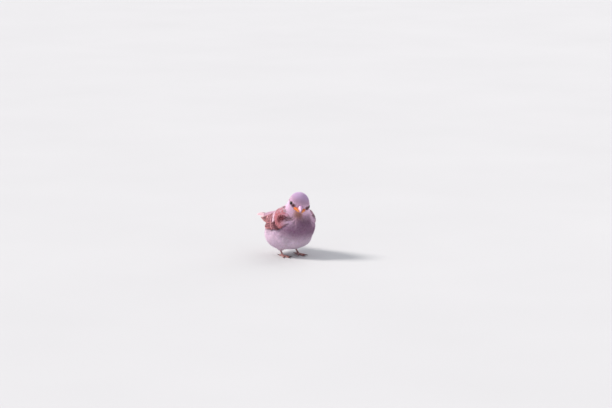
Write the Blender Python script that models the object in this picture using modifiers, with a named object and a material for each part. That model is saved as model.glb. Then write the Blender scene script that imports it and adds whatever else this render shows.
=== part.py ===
"""A fledgling house sparrow (Passer domesticus), life size, as a still museum model.

It crouches on both feet with its plumage fluffed out, the head turned to its right, tipped down and
tilted. +Z is up, the body faces -Y and the bird's left side is +X. Shapes are worked out in
millimetres and put into the scene in metres, with the origin under the middle of the bird's box.

The body is one blended surface over named ellipsoids. It is meshed, then parted with thin cuts into
head, neck and trunk. Wings and tail are thin lofts laid over that surface.
"""

import math
from collections import namedtuple

import bmesh
import bpy
import numpy as np
from mathutils import Matrix, Vector

MM = 0.001
GAP = 0.3  # between pieces that touch
SIDES = {"left": 1, "right": -1}

# --- Posture -------------------------------------------------------------------------------------
TRUNK_PITCH = 23.0  # degrees, breast up
WING_PITCH = 6.0
WING_AXIS_AT = Vector((0, 0, 41))
HEAD_CENTRE = Vector((0, -23.5, 74.0))
HEAD_TURN, HEAD_NOD, HEAD_TILT = -23.0, 12.0, 14.5  # to its right, bill down, right eye up

# --- The masses of flesh and fluffed feathers: centre, radii, pitch (millimetres, degrees) --------
Mass = namedtuple("Mass", "centre radii turn")
MASSES = {
    "trunk": ((0, 2, 38), (26.5, 37, 23), TRUNK_PITCH),
    "breast_left": ((6.5, -17.5, 43), (18.5, 20, 22), 20),
    "breast_right": ((-6.5, -17.5, 43), (18.5, 20, 22), 20),
    "belly": ((0, -3, 26.5), (23, 27, 18), 4),
    "flank_left": ((15, 3, 28), (15, 25, 18), -3),
    "flank_right": ((-15, 3, 28), (15, 25, 18), -3),
    "shoulders": ((0, -5, 54.5), (20, 22, 12.5), 26),
    "rump": ((0, 31, 43.5), (14, 19, 10.5), 14),
    "tail_coverts": ((0, 40, 45.3), (10, 17, 6), 2),
    "neck": ((0, -16.5, 61.5), (17, 15.5, 13), 20),
}
BLEND = 6.0  # how widely two masses run into each other
HEAD_RADII = (13.0, 14.3, 13.0)
CHEEK_AT, CHEEK_RADII = Vector((6.6, -2.0, -4.5)), (6.0, 8.5, 6.5)
CELL = {"trunk": 4.1, "neck": 3.1, "head": 2.15}  # mesh cell of each length of the body

# --- Thin cuts across the body: a point on the cut and the direction towards the head --------------
NECK_CUT = (Vector((0, -15.0, 64.6)), Vector((0, -0.36, 0.93)).normalized())
SHOULDER_CUT = (Vector((0, -13.0, 56.4)), Vector((0, -0.52, 0.85)).normalized())

# --- Head details, in the head's own frame (x to its left, -y ahead) -------------------------------
EYE_RADIUS, EYE_PROUD = 3.3, 0.85  # how far the eye stands out of the plumage
EYE_AT = Vector((12.0, -7.8, -1.1))
BILL_ROOT_Y, BILL_TIP_Y = -9.0, -22.4
GAPE_Z = -4.8  # height of the closed mouth's line at the corner
GAPE_LINE = ((6.7, -8.5, -5.1), (6.5, -12, -5.8), (5.4, -14.8, -6.4), (3.9, -17.4, -7), (2.5, -19.6, -7.4))
GAPE_THICKNESS = (2.4, 2.7, 2.3, 1.6, 0.9)

# --- Wings and tail --------------------------------------------------------------------------------
WING_FRONT, WING_PART, WING_END = 27.0, -15.0, -53.0  # along the trunk's axis from its centre
WING_FREE = (-36.0, -30.0)  # behind this the blade stands clear of the body
WING_THICKNESS = 2.6
TAIL_ROOT, TAIL_LENGTH = Vector((0, 38, 47.0)), 32.5
TAIL_SLOPE = 0.5  # degrees down towards the tip
TAIL_HALF_WIDTHS = (6.0, 9.0)
TAIL_THICKNESS = 1.5

# --- Legs ------------------------------------------------------------------------------------------
FOOT_X, FOOT_Y = 12.0, -2.5
THIGH_AT, THIGH_RADII = Vector((11.6, 4.0, 13.5)), (5.6, 8.0, 6.8)
ANKLE = Vector((11.6, 9.5, 13.0))
TOE_ROOT_Z = 1.15
PAD_RADII = (1.9, 2.3, 1.75)
TOE_LUMPS = (1.0, 1.05, 0.92, 0.98, 0.7)  # of a toe's radius: pads under its joints
TOE_RISES = (-0.1, 0.0, -0.2, -0.25, -0.6)  # of its middle line against the root's height
CLAW_RADII = (0.62, 0.58, 0.48, 0.36, 0.27)
Toe = namedtuple("Toe", "bearing length radius claw")
TOES = {
    "middle": Toe(-2, 13.5, 1.0, 4.8),
    "inner": Toe(-31, 9.5, 0.95, 4.2),
    "outer": Toe(27, 10.5, 0.95, 4.0),
    "hind": Toe(180, 7.5, 1.05, 5.6),
}

# --- Materials: colour, roughness ------------------------------------------------------------------
MATERIALS = {
    "head_plumage": ((0.50, 0.33, 0.38), 0.9),
    "body_plumage": ((0.66, 0.48, 0.54), 0.9),
    "wing_feathers": ((0.42, 0.17, 0.15), 0.7),
    "tail_feathers": ((0.45, 0.28, 0.27), 0.7),
    "bill_horn": ((0.62, 0.33, 0.36), 0.35),
    "gape_skin": ((0.85, 0.36, 0.06), 0.4),
    "eye": ((0.02, 0.01, 0.012), 0.05),
    "leg_scales": ((0.56, 0.30, 0.27), 0.5),
    "claw_horn": ((0.16, 0.09, 0.08), 0.35),
}


# ==================================== small helpers ===============================================
def pitched(degrees):
    """Turns the front up by that many degrees."""
    return Matrix.Rotation(-math.radians(degrees), 3, "X")


def head_turn():
    return (
        Matrix.Rotation(math.radians(HEAD_TURN), 3, "Z")
        @ Matrix.Rotation(math.radians(HEAD_NOD), 3, "X")
        @ Matrix.Rotation(math.radians(HEAD_TILT), 3, "Y")
    )


def from_head(point):
    """A point given in the head's frame, in the bird's."""
    return HEAD_CENTRE + head_turn() @ Vector(point)


def mirrored(point, side):
    return Vector((point[0] * SIDES[side], point[1], point[2]))


def material(name):
    made = bpy.data.materials.get(name)
    if made is None:
        colour, roughness = MATERIALS[name]
        made = bpy.data.materials.new(name)
        made.use_nodes = True
        shader = made.node_tree.nodes["Principled BSDF"]
        shader.inputs["Base Color"].default_value = (*colour, 1)
        shader.inputs["Roughness"].default_value = roughness
        made.diffuse_color = (*colour, 1)
    return made


def clear_scene():
    for old in list(bpy.data.objects):
        bpy.data.objects.remove(old, do_unlink=True)


def add_collection(name):
    collection = bpy.data.collections.new(name)
    bpy.context.scene.collection.children.link(collection)
    return collection


def add_object(name, mesh, collection, material_name=None):
    obj = bpy.data.objects.new(name, mesh)
    collection.objects.link(obj)
    if material_name:
        mesh.materials.clear()
        mesh.materials.append(material(material_name))
    return obj


def evaluated_copy(obj):
    """The object's mesh with its modifiers worked out."""
    graph = bpy.context.evaluated_depsgraph_get()
    return bpy.data.meshes.new_from_object(obj.evaluated_get(graph))


def edited(mesh, *steps):
    """Runs each step on the mesh as a bmesh and writes it back."""
    bm = bmesh.new()
    bm.from_mesh(mesh)
    for step in steps:
        step(bm)
    bm.to_mesh(mesh)
    bm.free()
    return mesh


def cut_away(mesh, point, normal):
    """Removes what lies on the normal's side of a plane, and closes the cut flat."""

    def cut(bm):
        everything = bm.verts[:] + bm.edges[:] + bm.faces[:]
        made = bmesh.ops.bisect_plane(
            bm, geom=everything, dist=1e-5, plane_co=point, plane_no=normal, clear_outer=True
        )
        rim = [e for e in made["geom_cut"] if isinstance(e, bmesh.types.BMEdge)]
        bmesh.ops.holes_fill(bm, edges=rim, sides=0)
        bmesh.ops.recalc_face_normals(bm, faces=bm.faces)

    return edited(mesh, cut)


def largest_piece(bm):
    """Keeps the largest of the mesh's separate shells."""
    left, shells = set(bm.verts), []
    while left:
        stack, shell = [left.pop()], set()
        while stack:
            vert = stack.pop()
            shell.add(vert)
            for edge in vert.link_edges:
                other = edge.other_vert(vert)
                if other in left:
                    left.remove(other)
                    stack.append(other)
        shells.append(shell)
    keep = max(shells, key=len)
    bmesh.ops.delete(bm, geom=[v for v in bm.verts if v not in keep], context="VERTS")


def inflate(mesh, by):
    """A copy of the mesh with every point moved out along its normal."""
    grown = mesh.copy()
    grown.calc_loop_triangles()
    moves = [v.normal * by for v in grown.vertices]
    for vert, move in zip(grown.vertices, moves):
        vert.co += move
    return grown


def without(mesh, cutters, collection):
    """The mesh less each cutter mesh, which is first grown by the gap, as one piece."""
    body = bpy.data.objects.new("cut_body", mesh)
    collection.objects.link(body)
    helpers = [body]
    for i, cutter in enumerate(cutters):
        tool = bpy.data.objects.new(f"cutter_{i}", inflate(cutter, GAP))
        tool.hide_render = True
        tool.display_type = "WIRE"
        collection.objects.link(tool)
        helpers.append(tool)
        boolean = body.modifiers.new(f"cut_{i}", "BOOLEAN")
        boolean.operation = "DIFFERENCE"
        boolean.solver = "EXACT"
        boolean.object = tool
    made = evaluated_copy(body)
    for helper in helpers:
        bpy.data.objects.remove(helper, do_unlink=True)
    return edited(made, largest_piece)


# ==================================== the body's surface ==========================================
def all_masses():
    """Every mass as centre, radii and rotation, with the head's in its own turn."""
    masses = [
        Mass(np.array(centre, float), np.array(radii, float), np.array(pitched(pitch)))
        for centre, radii, pitch in MASSES.values()
    ]
    turn = np.array(head_turn())
    masses.append(Mass(np.array(HEAD_CENTRE), np.array(HEAD_RADII, float), turn))
    for side in SIDES:
        cheek = np.array(from_head(mirrored(CHEEK_AT, side)))
        masses.append(Mass(cheek, np.array(CHEEK_RADII, float), turn))
    return masses


def height_over(points, mass):
    """About how far each point is outside an ellipsoid."""
    scaled = (points - mass.centre) @ mass.turn / mass.radii
    k0 = np.linalg.norm(scaled, axis=1)
    k1 = np.linalg.norm(scaled / mass.radii, axis=1)
    return k0 * (k0 - 1) / np.maximum(k1, 1e-9)


def blended(a, b, width):
    """The lower of two heights, rounded where they cross."""
    near = np.maximum(width - np.abs(a - b), 0) / width
    return np.minimum(a, b) - near * near * width / 4


def body_height(points, masses=None):
    """About how far each point is outside the fluffed body, in millimetres."""
    masses = masses or all_masses()
    height = height_over(points, masses[0])
    for mass in masses[1:]:
        height = blended(height, height_over(points, mass), BLEND)
    return height


def outward(points):
    """The body surface's unit normals near the points, and the field's slope there."""
    step, masses = 0.05, all_masses()
    slope = np.stack(
        [
            body_height(points + np.eye(3)[axis] * step, masses)
            - body_height(points - np.eye(3)[axis] * step, masses)
            for axis in range(3)
        ],
        axis=1,
    ) / (2 * step)
    size = np.linalg.norm(slope, axis=1, keepdims=True)
    return slope / np.maximum(size, 1e-9), size[:, 0]


def onto_body(points, lift=0.0, rounds=4):
    """Moves points along the surface's normals until they lie that far over it."""
    points = np.array(points, float)
    for _ in range(rounds):
        normal, size = outward(points)
        points -= normal * ((body_height(points) - lift) / np.maximum(size, 0.3))[:, None]
    return points


def body_mesh(cell, collection):
    """The whole body as one closed mesh of about that cell size."""
    bm = bmesh.new()
    for mass in all_masses():
        place = (
            Matrix.Translation(Vector(mass.centre))
            @ Matrix(mass.turn).to_4x4()
            @ Matrix.Diagonal((*mass.radii, 1))
        )
        bmesh.ops.create_uvsphere(bm, u_segments=32, v_segments=20, radius=1, matrix=place)
    mesh = bpy.data.meshes.new("masses")
    bm.to_mesh(mesh)
    bm.free()
    obj = bpy.data.objects.new("masses", mesh)
    collection.objects.link(obj)
    remesh = obj.modifiers.new("one_skin", "REMESH")
    remesh.mode = "VOXEL"
    remesh.voxel_size = cell
    made = evaluated_copy(obj)
    bpy.data.objects.remove(obj, do_unlink=True)
    points = np.array([v.co for v in made.vertices])
    for vert, point in zip(made.vertices, onto_body(points)):
        vert.co = point
    return made


# ==================================== lofts over the body =========================================
def around_body(along, bearing, lift, side, least=0.0):
    """Points at a distance along the wings' axis and a bearing from the back, over the surface.

    All but side are arrays of one shape. No point is nearer to the axis than least.
    """
    turn = pitched(WING_PITCH)
    ahead, up = np.array(turn @ Vector((0, -1, 0))), np.array(turn @ Vector((0, 0, 1)))
    out = np.array((SIDES[side], 0.0, 0.0))
    foot = np.array(WING_AXIS_AT) + np.multiply.outer(along, ahead)
    angle = np.radians(bearing)[..., None]
    ray = np.cos(angle) * up + np.sin(angle) * out
    low, high = np.zeros(np.shape(along)), np.full(np.shape(along), 60.0)
    for _ in range(26):
        middle = (low + high) / 2
        points = foot + ray * middle[..., None]
        outside = body_height(points.reshape(-1, 3)).reshape(middle.shape) > lift
        low, high = np.where(outside, low, middle), np.where(outside, middle, high)
    return foot + ray * np.maximum(high, least)[..., None]


def slab(name, top, under, collection, material_name):
    """A closed plate between two grids of points, with flat edges all round."""
    rows, columns = top.shape[:2]
    points = np.concatenate([top.reshape(-1, 3), under.reshape(-1, 3)])

    def at(layer, i, j):
        return layer * rows * columns + i * columns + j

    faces = []
    for i in range(rows - 1):
        for j in range(columns - 1):
            faces.append([at(0, i, j), at(0, i, j + 1), at(0, i + 1, j + 1), at(0, i + 1, j)])
            faces.append([at(1, i, j), at(1, i + 1, j), at(1, i + 1, j + 1), at(1, i, j + 1)])
    rim = [(0, j) for j in range(columns)] + [(i, columns - 1) for i in range(1, rows)]
    rim += [(rows - 1, j) for j in range(columns - 2, -1, -1)]
    rim += [(i, 0) for i in range(rows - 2, 0, -1)]
    for (i, j), (k, m) in zip(rim, rim[1:] + rim[:1]):
        faces.append([at(0, i, j), at(1, i, j), at(1, k, m), at(0, k, m)])
    mesh = bpy.data.meshes.new(name)
    mesh.from_pydata((points * MM).tolist(), [], faces)
    edited(mesh, lambda bm: bmesh.ops.recalc_face_normals(bm, faces=bm.faces))
    return add_object(name, mesh, collection, material_name)


def eased(at, stops, values):
    """Runs smoothly through the values at the stops."""
    widths = np.linspace(-0.09, 0.09, 13)
    return np.mean([np.interp(at + w, stops, values) for w in widths], axis=0)


def wing_edges(along):
    """Bearings of a folded wing's upper and lower edge at each distance along its axis."""
    reach = (WING_FRONT - along) / (WING_FRONT - WING_END)  # 0 at the wrist, 1 at the tip
    upper = eased(reach, (0, 0.1, 0.35, 0.7, 1), (58, 48, 38, 35, 44))
    lower = eased(reach, (0, 0.08, 0.3, 0.55, 0.8, 1), (68, 84, 99, 98, 76, 53))
    return upper, lower


def add_wing_piece(name, side, start, end, rows, collection):
    """Part of the folded wing between two distances along the trunk, from the shoulder back."""
    along = np.linspace(start, end, rows)
    across = np.linspace(-1, 1, 8)
    upper, lower = wing_edges(along)
    middle, half = (upper + lower) / 2, (lower - upper) / 2
    bearing = middle[:, None] + half[:, None] * across
    spread = np.repeat(along[:, None], len(across), axis=1)
    reach = (WING_FRONT - spread) / (WING_FRONT - WING_END)
    rounded = np.sqrt(np.clip(1 - across**2, 0, 1)) * np.clip(reach / 0.12, 0.25, 1)
    thick = 0.7 + (WING_THICKNESS - 0.7) * rounded * (1 - 0.45 * reach)
    least = np.interp(spread, (WING_END, *WING_FREE), (13.0, 15.4, 0))
    base = np.full(spread.shape, 2 * GAP)
    under = around_body(spread, bearing, base, side, least)
    top = around_body(spread, bearing, base + thick, side, least + thick)
    return slab(name, top, under, collection, "wing_feathers")


def add_tail(trunk, collection):
    """The short tail: a shallow roof of feathers that widens to a notched tip."""
    rows, columns = 9, 9
    along = np.linspace(0, 1, rows)[:, None] * np.ones((1, columns))
    across = np.ones((rows, 1)) * np.linspace(-1, 1, columns)
    half = np.interp(along, (0, 1), TAIL_HALF_WIDTHS)
    slope = math.radians(TAIL_SLOPE)
    reach = TAIL_LENGTH * along * (1 - 0.07 * along * (1 - np.abs(across)) - 0.06 * along * across**4)
    roof = -2.2 * across**2 * (1 - 0.4 * along)
    top = np.stack(
        [half * across, TAIL_ROOT.y + reach * math.cos(slope), TAIL_ROOT.z - reach * math.sin(slope) + roof],
        axis=-1,
    )
    thick = TAIL_THICKNESS * (1 - 0.4 * along) * (1 - 0.35 * across**2)
    under = top - np.stack([0 * thick, 0 * thick, thick], axis=-1)
    whole = slab("tail_whole", top / MM, under / MM, collection, None)
    cut = without(whole.data, [trunk], collection)
    bpy.data.objects.remove(whole, do_unlink=True)
    add_part("tail", cut, collection, "tail_feathers")


def add_part(name, mesh, collection, material_name):
    """Adds a mesh worked out in millimetres, in metres."""
    mesh.transform(Matrix.Scale(MM, 4))
    mesh.update()
    obj = add_object(name, mesh, collection, material_name)
    mesh.shade_smooth()
    mesh.set_sharp_from_angle(angle=math.radians(40))
    return obj


# ==================================== head parts ==================================================
def ellipsoid(centre, radii, turn, segments=14, rings=9):
    bm = bmesh.new()
    place = Matrix.Translation(centre) @ turn.to_4x4() @ Matrix.Diagonal((*radii, 1))
    bmesh.ops.create_uvsphere(bm, u_segments=segments, v_segments=rings, radius=1, matrix=place)
    mesh = bpy.data.meshes.new("ellipsoid")
    bm.to_mesh(mesh)
    bm.free()
    return mesh


def loft(sections):
    """A closed mesh through rings of as many points each, with flat ends."""
    rings, count = len(sections), len(sections[0])
    faces = [list(range(count - 1, -1, -1)), [(rings - 1) * count + k for k in range(count)]]
    for i in range(rings - 1):
        for k in range(count):
            n = (k + 1) % count
            faces.append([i * count + k, i * count + n, (i + 1) * count + n, (i + 1) * count + k])
    mesh = bpy.data.meshes.new("loft")
    mesh.from_pydata([tuple(p) for ring in sections for p in ring], [], faces)
    return edited(mesh, lambda bm: bmesh.ops.recalc_face_normals(bm, faces=bm.faces))


def bill_half(upper):
    """The upper or the lower half of the stout, short bill, in the bird's frame."""
    sections, corners = [], 9
    for t in np.linspace(0, 1, 9):
        y = BILL_ROOT_Y + (BILL_TIP_Y - BILL_ROOT_Y) * t
        mouth = GAPE_Z - 1.6 * t * t  # the line where the halves meet bends down to the tip
        taper = math.sqrt(max(1 - t**1.75, 0.0))
        if upper:
            half, tall, sign = 0.35 + 3.9 * taper, 0.45 + 6.2 * taper, 1
        else:
            y = BILL_ROOT_Y + (BILL_TIP_Y + 0.9 - BILL_ROOT_Y) * t
            half, tall, sign = 0.3 + 3.7 * taper, 0.4 + 2.9 * taper, -1
        edge = mouth + sign * GAP / 2
        arch = [
            (half * math.cos(a), y, edge + sign * tall * math.sin(a))
            for a in np.linspace(0, math.pi, corners)
        ]
        sections.append([from_head(p) for p in arch])
    return loft(sections)


def add_head_parts(head, collection):
    """The bill, the gape's swollen yellow corners and the eyes, each clear of the head."""
    upper = without(bill_half(True), [head], collection)
    lower = without(bill_half(False), [head, upper], collection)
    for side in SIDES:
        line = [from_head(mirrored(point, side)) for point in GAPE_LINE]
        corner = tube(line, GAPE_THICKNESS, collection, 2)
        corner = without(corner, [head, upper, lower], collection)
        add_part(f"gape_{side}", corner, collection, "gape_skin")
        add_part(f"eye_{side}", eyeball(side), collection, "eye")
    add_part("bill_upper", upper, collection, "bill_horn")
    add_part("bill_lower", lower, collection, "bill_horn")


def eyeball(side):
    """One eye, sunk into the head so that only its outer cap shows."""
    surface = onto_body([from_head(mirrored(EYE_AT, side))], rounds=8)
    normal, _ = outward(surface)
    centre = Vector(surface[0] - normal[0] * (EYE_RADIUS - EYE_PROUD))
    return ellipsoid(centre, (EYE_RADIUS,) * 3, head_turn(), 16, 11)


# ==================================== legs and feet ===============================================
def tube(points, radii, collection, resolution=1):
    """A tapered round tube through the points, as a closed mesh."""
    curve = bpy.data.curves.new("tube", "CURVE")
    curve.dimensions = "3D"
    curve.bevel_depth = 1.0
    curve.bevel_resolution = resolution
    curve.use_fill_caps = True
    spline = curve.splines.new("POLY")
    spline.points.add(len(points) - 1)
    for knot, point, radius in zip(spline.points, points, radii):
        knot.co = (*point, 1)
        knot.radius = radius
    obj = bpy.data.objects.new("tube", curve)
    collection.objects.link(obj)
    mesh = evaluated_copy(obj)
    bpy.data.objects.remove(obj, do_unlink=True)
    bpy.data.curves.remove(curve)
    return edited(
        mesh,
        lambda bm: bmesh.ops.remove_doubles(bm, verts=bm.verts, dist=1e-4),
        lambda bm: bmesh.ops.recalc_face_normals(bm, faces=bm.faces),
    )


def toe_line(root, toe, side):
    """The toe's direction on the floor and its end."""
    bearing = math.radians(toe.bearing) * SIDES[side]
    ahead = Vector((math.sin(bearing), -math.cos(bearing), 0))
    return ahead, root + ahead * toe.length


def add_foot(side, collection):
    """The pad under the shank, and four toes with claws, all flat at floor height."""
    floor = (Vector((0, 0, 0)), Vector((0, 0, -1)))
    root = mirrored((FOOT_X, FOOT_Y, TOE_ROOT_Z), side)
    pad = ellipsoid(root, PAD_RADII, Matrix.Identity(3), 12, 8)
    pad = cut_away(pad, *floor)
    made = [pad]
    for name, toe in TOES.items():
        ahead, end = toe_line(root, toe, side)
        shares = np.linspace(0, 1, len(TOE_LUMPS))
        line = [
            root + ahead * toe.length * s + Vector((0, 0, rise)) for s, rise in zip(shares, TOE_RISES)
        ]
        digit = tube(line, [toe.radius * lump for lump in TOE_LUMPS], collection)
        digit = without(cut_away(digit, *floor), made, collection)
        made.append(digit.copy())
        add_part(f"toe_{side}_{name}", digit, collection, "leg_scales")
        claw = [
            end + ahead * (GAP + toe.claw * u) + Vector((0, 0, 0.07 + 0.75 * u * (1 - u) - 0.22 * u))
            for u in np.linspace(0, 1, len(CLAW_RADII))
        ]
        nail = tube(claw, CLAW_RADII, collection)
        add_part(f"claw_{side}_{name}", nail, collection, "claw_horn")
    return pad


def add_leg(side, trunk, collection):
    """Feathered thigh, scaly shank and foot."""
    pad = add_foot(side, collection)
    thigh = ellipsoid(mirrored(THIGH_AT, side), THIGH_RADII, pitched(-12), 18, 12)
    thigh = without(thigh, [trunk], collection)
    foot = mirrored((FOOT_X, FOOT_Y, TOE_ROOT_Z + 0.6), side)
    ankle = mirrored(ANKLE, side)
    line = [ankle.lerp(foot, t) for t in (0, 0.15, 0.5, 0.85, 1)]
    shank = tube(line, (1.5, 1.25, 1.05, 1.15, 1.3), collection)
    shank = without(shank, [trunk, thigh, pad], collection)
    add_part(f"shank_{side}", shank, collection, "leg_scales")
    add_part(f"thigh_{side}", thigh, collection, "body_plumage")
    add_part(f"foot_pad_{side}", pad, collection, "leg_scales")


# ==================================== the whole bird ==============================================
def add_body(collection):
    """Head, neck and trunk, parted with thin cuts. Returns the head and the trunk in millimetres."""
    meshes = {name: body_mesh(cell, collection) for name, cell in CELL.items()}
    half = GAP / 2
    (neck_at, neck_up), (shoulder_at, shoulder_up) = NECK_CUT, SHOULDER_CUT
    head = cut_away(meshes["head"], neck_at + neck_up * half, -neck_up)
    neck = cut_away(meshes["neck"], neck_at - neck_up * half, neck_up)
    neck = cut_away(neck, shoulder_at + shoulder_up * half, -shoulder_up)
    trunk = cut_away(meshes["trunk"], shoulder_at - shoulder_up * half, shoulder_up)
    head = without(head, [eyeball(side) for side in SIDES], collection)
    add_part("head", head.copy(), collection, "head_plumage")
    add_part("neck", neck, collection, "body_plumage")
    add_part("trunk", trunk.copy(), collection, "body_plumage")
    return head, trunk


def centre_under_box(objects):
    """Moves all so that the origin lies on the floor under the middle of the bird's box."""
    corners = [v.co for obj in objects for v in obj.data.vertices]
    middle = [(min(c[i] for c in corners) + max(c[i] for c in corners)) / 2 for i in (0, 1)]
    shift = Matrix.Translation((-middle[0], -middle[1], 0))
    for obj in objects:
        obj.data.transform(shift)
    return middle


def build():
    clear_scene()
    bird = add_collection("house_sparrow_fledgling")
    head, trunk = add_body(bird)
    add_head_parts(head, bird)
    for side in SIDES:
        add_wing_piece(f"wing_{side}", side, WING_FRONT, WING_PART + GAP / 2, 12, bird)
        add_wing_piece(f"wing_{side}_tip", side, WING_PART - GAP / 2, WING_END, 10, bird)
        add_leg(side, trunk, bird)
    add_tail(trunk, bird)
    middle = centre_under_box(list(bird.objects))
    print("shift of the origin, metres:", [round(v, 6) for v in middle])


build()
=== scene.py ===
"""The looks of a fledgling house sparrow that crouches with its plumage fluffed out.

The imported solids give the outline, out to the tips of the feathers. Here one skin lies inside them by
the coat's depth, and feathers grow from it back out to that outline, along the lie of the plumage.
Lengths are in millimetres and every mesh is made in metres. The body faces -Y, its left side is +X.
"""

import math
from collections import namedtuple

import bmesh
import bpy
import numpy as np
from mathutils import Matrix, Vector, kdtree


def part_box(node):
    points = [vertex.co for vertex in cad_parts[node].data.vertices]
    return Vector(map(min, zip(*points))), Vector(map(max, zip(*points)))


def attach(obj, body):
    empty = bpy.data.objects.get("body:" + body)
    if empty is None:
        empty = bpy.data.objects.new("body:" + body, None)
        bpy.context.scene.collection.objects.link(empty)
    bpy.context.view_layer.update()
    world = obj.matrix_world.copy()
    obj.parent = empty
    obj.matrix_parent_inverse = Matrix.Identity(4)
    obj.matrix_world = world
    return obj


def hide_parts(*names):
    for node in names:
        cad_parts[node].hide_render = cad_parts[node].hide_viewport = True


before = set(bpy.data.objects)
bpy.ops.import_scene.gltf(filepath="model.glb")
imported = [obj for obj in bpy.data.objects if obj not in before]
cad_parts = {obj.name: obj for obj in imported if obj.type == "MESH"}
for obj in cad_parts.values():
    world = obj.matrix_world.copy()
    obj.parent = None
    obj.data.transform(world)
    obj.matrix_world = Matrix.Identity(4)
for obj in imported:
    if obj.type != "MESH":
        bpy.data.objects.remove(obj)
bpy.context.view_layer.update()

MM = 0.001
SIDES = {"left": 1, "right": -1}
RNG = np.random.default_rng(11)

# ---- the bird's build ----
# The same named masses as the solids have, before the solids' shift to the middle of their box.
FOOT_X, FOOT_Y = 12.0, -2.5
HEAD_CENTRE = np.array((0, -23.5, 74.0))
HEAD_TURN, HEAD_NOD, HEAD_TILT = -23.0, 12.0, 14.5
HEAD_RADII = (13.0, 14.3, 13.0)
CHEEK_AT, CHEEK_RADII = (6.6, -2.0, -4.5), (6.0, 8.5, 6.5)
MASSES = {  # centre, radii and pitch of each
    "trunk": ((0, 2, 38), (26.5, 37, 23), 23),
    "breast_left": ((6.5, -17.5, 43), (18.5, 20, 22), 20),
    "breast_right": ((-6.5, -17.5, 43), (18.5, 20, 22), 20),
    "belly": ((0, -3, 26.5), (23, 27, 18), 4),
    "flank_left": ((15, 3, 28), (15, 25, 18), -3),
    "flank_right": ((-15, 3, 28), (15, 25, 18), -3),
    "shoulders": ((0, -5, 54.5), (20, 22, 12.5), 26),
    "rump": ((0, 31, 43.5), (14, 19, 10.5), 14),
    "tail_coverts": ((0, 40, 45.3), (10, 17, 6), 2),
    "neck": ((0, -16.5, 61.5), (17, 15.5, 13), 20),
}
THIGH_AT, THIGH_RADII, THIGH_PITCH = (11.6, 4.0, 13.5), (5.6, 8.0, 6.8), 12
LOW_THIGH = 10.0  # under this height the coat is short
BLEND, THIGH_BLEND = 6.0, 2.0
EYE_RADIUS = 3.3
BILL_ROOT_Y, BILL_TIP_Y, GAPE_Z = -9.0, -22.4, -4.8
LOWER_BILL_SHORTER = 0.9
NOSTRIL_Y, NOSTRIL_RISE = -14.1, 3.1
GAPE_LINE = (
    (6.6, -8.9, -4.9),
    (5.9, -11.9, -5.3),
    (4.6, -14.6, -5.7),
    (3.2, -17.2, -6.2),
    (1.9, -19.6, -6.7),
)
GAPE_THICKNESS = (1.7, 2.1, 1.75, 1.15, 0.42)
WING_PITCH, WING_AXIS_AT = 6.0, np.array((0, 0, 41.0))
WING_FRONT, WING_END = 27.0, -53.0
WING_FREE = (-36.0, -30.0)
WING_BASE, WING_THICKNESS, WING_THINNEST = 0.6, 2.6, 0.7
TAIL_ROOT, TAIL_LENGTH, TAIL_SLOPE = np.array((0, 38, 47.0)), 32.5, 0.5
TAIL_HALF_WIDTHS = (6.0, 9.0)

# ---- colours ----
# sRGB, 0 to 255. A fledgling's dull browns and buffs, under a cool sky that makes them rosy.
PALETTE = {
    "down": (172, 142, 160),
    # the crown's light bluish tone is partly its own and partly a painted sky reflection on the head's top
    "crown": (206, 175, 212),
    "nape": (206, 168, 196),
    "brow": (226, 192, 212),
    "eye_line": (160, 106, 132),
    "lore": (94, 22, 30),
    "cheek": (250, 214, 238),
    "throat": (222, 168, 152),
    # the breast's darker tone is partly its own grey and partly painted shade
    "breast": (150, 110, 140),
    "belly": (230, 208, 226),
    "flank": (228, 202, 222),
    "vent": (236, 218, 226),
    "mantle": (214, 168, 186),
    "streak": (96, 46, 58),
    "rump": (200, 156, 176),
    "covert": (188, 98, 106),
    "covert_dark": (70, 10, 26),
    "covert_edge": (224, 166, 174),
    "bar": (248, 220, 236),
    "quill_dark": (92, 50, 58),
    "quill_edge": (212, 152, 150),
    "tail_dark": (118, 78, 86),
    "tail_edge": (236, 198, 206),
    "bill": (214, 166, 204),
    "bill_tip": (132, 92, 112),
    "gape": (220, 114, 50),
    "gape_pale": (244, 172, 84),
    "lid": (128, 90, 96),
    "leg": (196, 140, 134),
    "leg_dark": (150, 100, 96),
    "claw": (74, 54, 52),
}


def linear(colour):
    """An sRGB colour of 0 to 255 as Blender's linear one."""
    share = np.asarray(colour, float) / 255
    return np.where(share <= 0.04045, share / 12.92, ((share + 0.055) / 1.055) ** 2.4)


TINT = {name: linear(colour) for name, colour in PALETTE.items()}


# ---- small maths ----
def turn_about(axis, degrees):
    """A turn as a matrix of 3 by 3."""
    return np.array(Matrix.Rotation(math.radians(degrees), 3, axis))


HEAD_AXES = turn_about("Z", HEAD_TURN) @ turn_about("X", HEAD_NOD) @ turn_about("Y", HEAD_TILT)
WING_AHEAD = turn_about("X", -WING_PITCH) @ np.array((0, -1.0, 0))
WING_UP = turn_about("X", -WING_PITCH) @ np.array((0, 0, 1.0))


def from_head(points):
    """Points given in the head's own frame, in the bird's."""
    return HEAD_CENTRE + np.asarray(points, float) @ HEAD_AXES.T


def in_head(points):
    """Points given in the bird's frame, in the head's own."""
    return (np.asarray(points, float) - HEAD_CENTRE) @ HEAD_AXES


def mirrored(point, side):
    """A point of the left side, on either side."""
    return np.array((point[0] * SIDES[side], point[1], point[2]), float)


def unit(vectors):
    """Vectors made one long."""
    return vectors / np.maximum(np.linalg.norm(vectors, axis=-1, keepdims=True), 1e-9)


def dot(a, b):
    """Scalar products, kept as a column."""
    return np.sum(a * b, axis=-1, keepdims=True)


def level(way, normals):
    """A way turned to lie in the surface with these normals."""
    return unit(way - normals * dot(way, normals))


def smooth(low, high, value):
    """0 under low, 1 over high, and an eased slope between; low may be the larger."""
    share = np.clip((np.asarray(value, float) - low) / (high - low), 0, 1)
    return share * share * (3 - 2 * share)


def mix(a, b, share):
    """Colours a to b by a share per row."""
    share = np.asarray(share, float)[..., None]
    return a * (1 - share) + b * share


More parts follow.
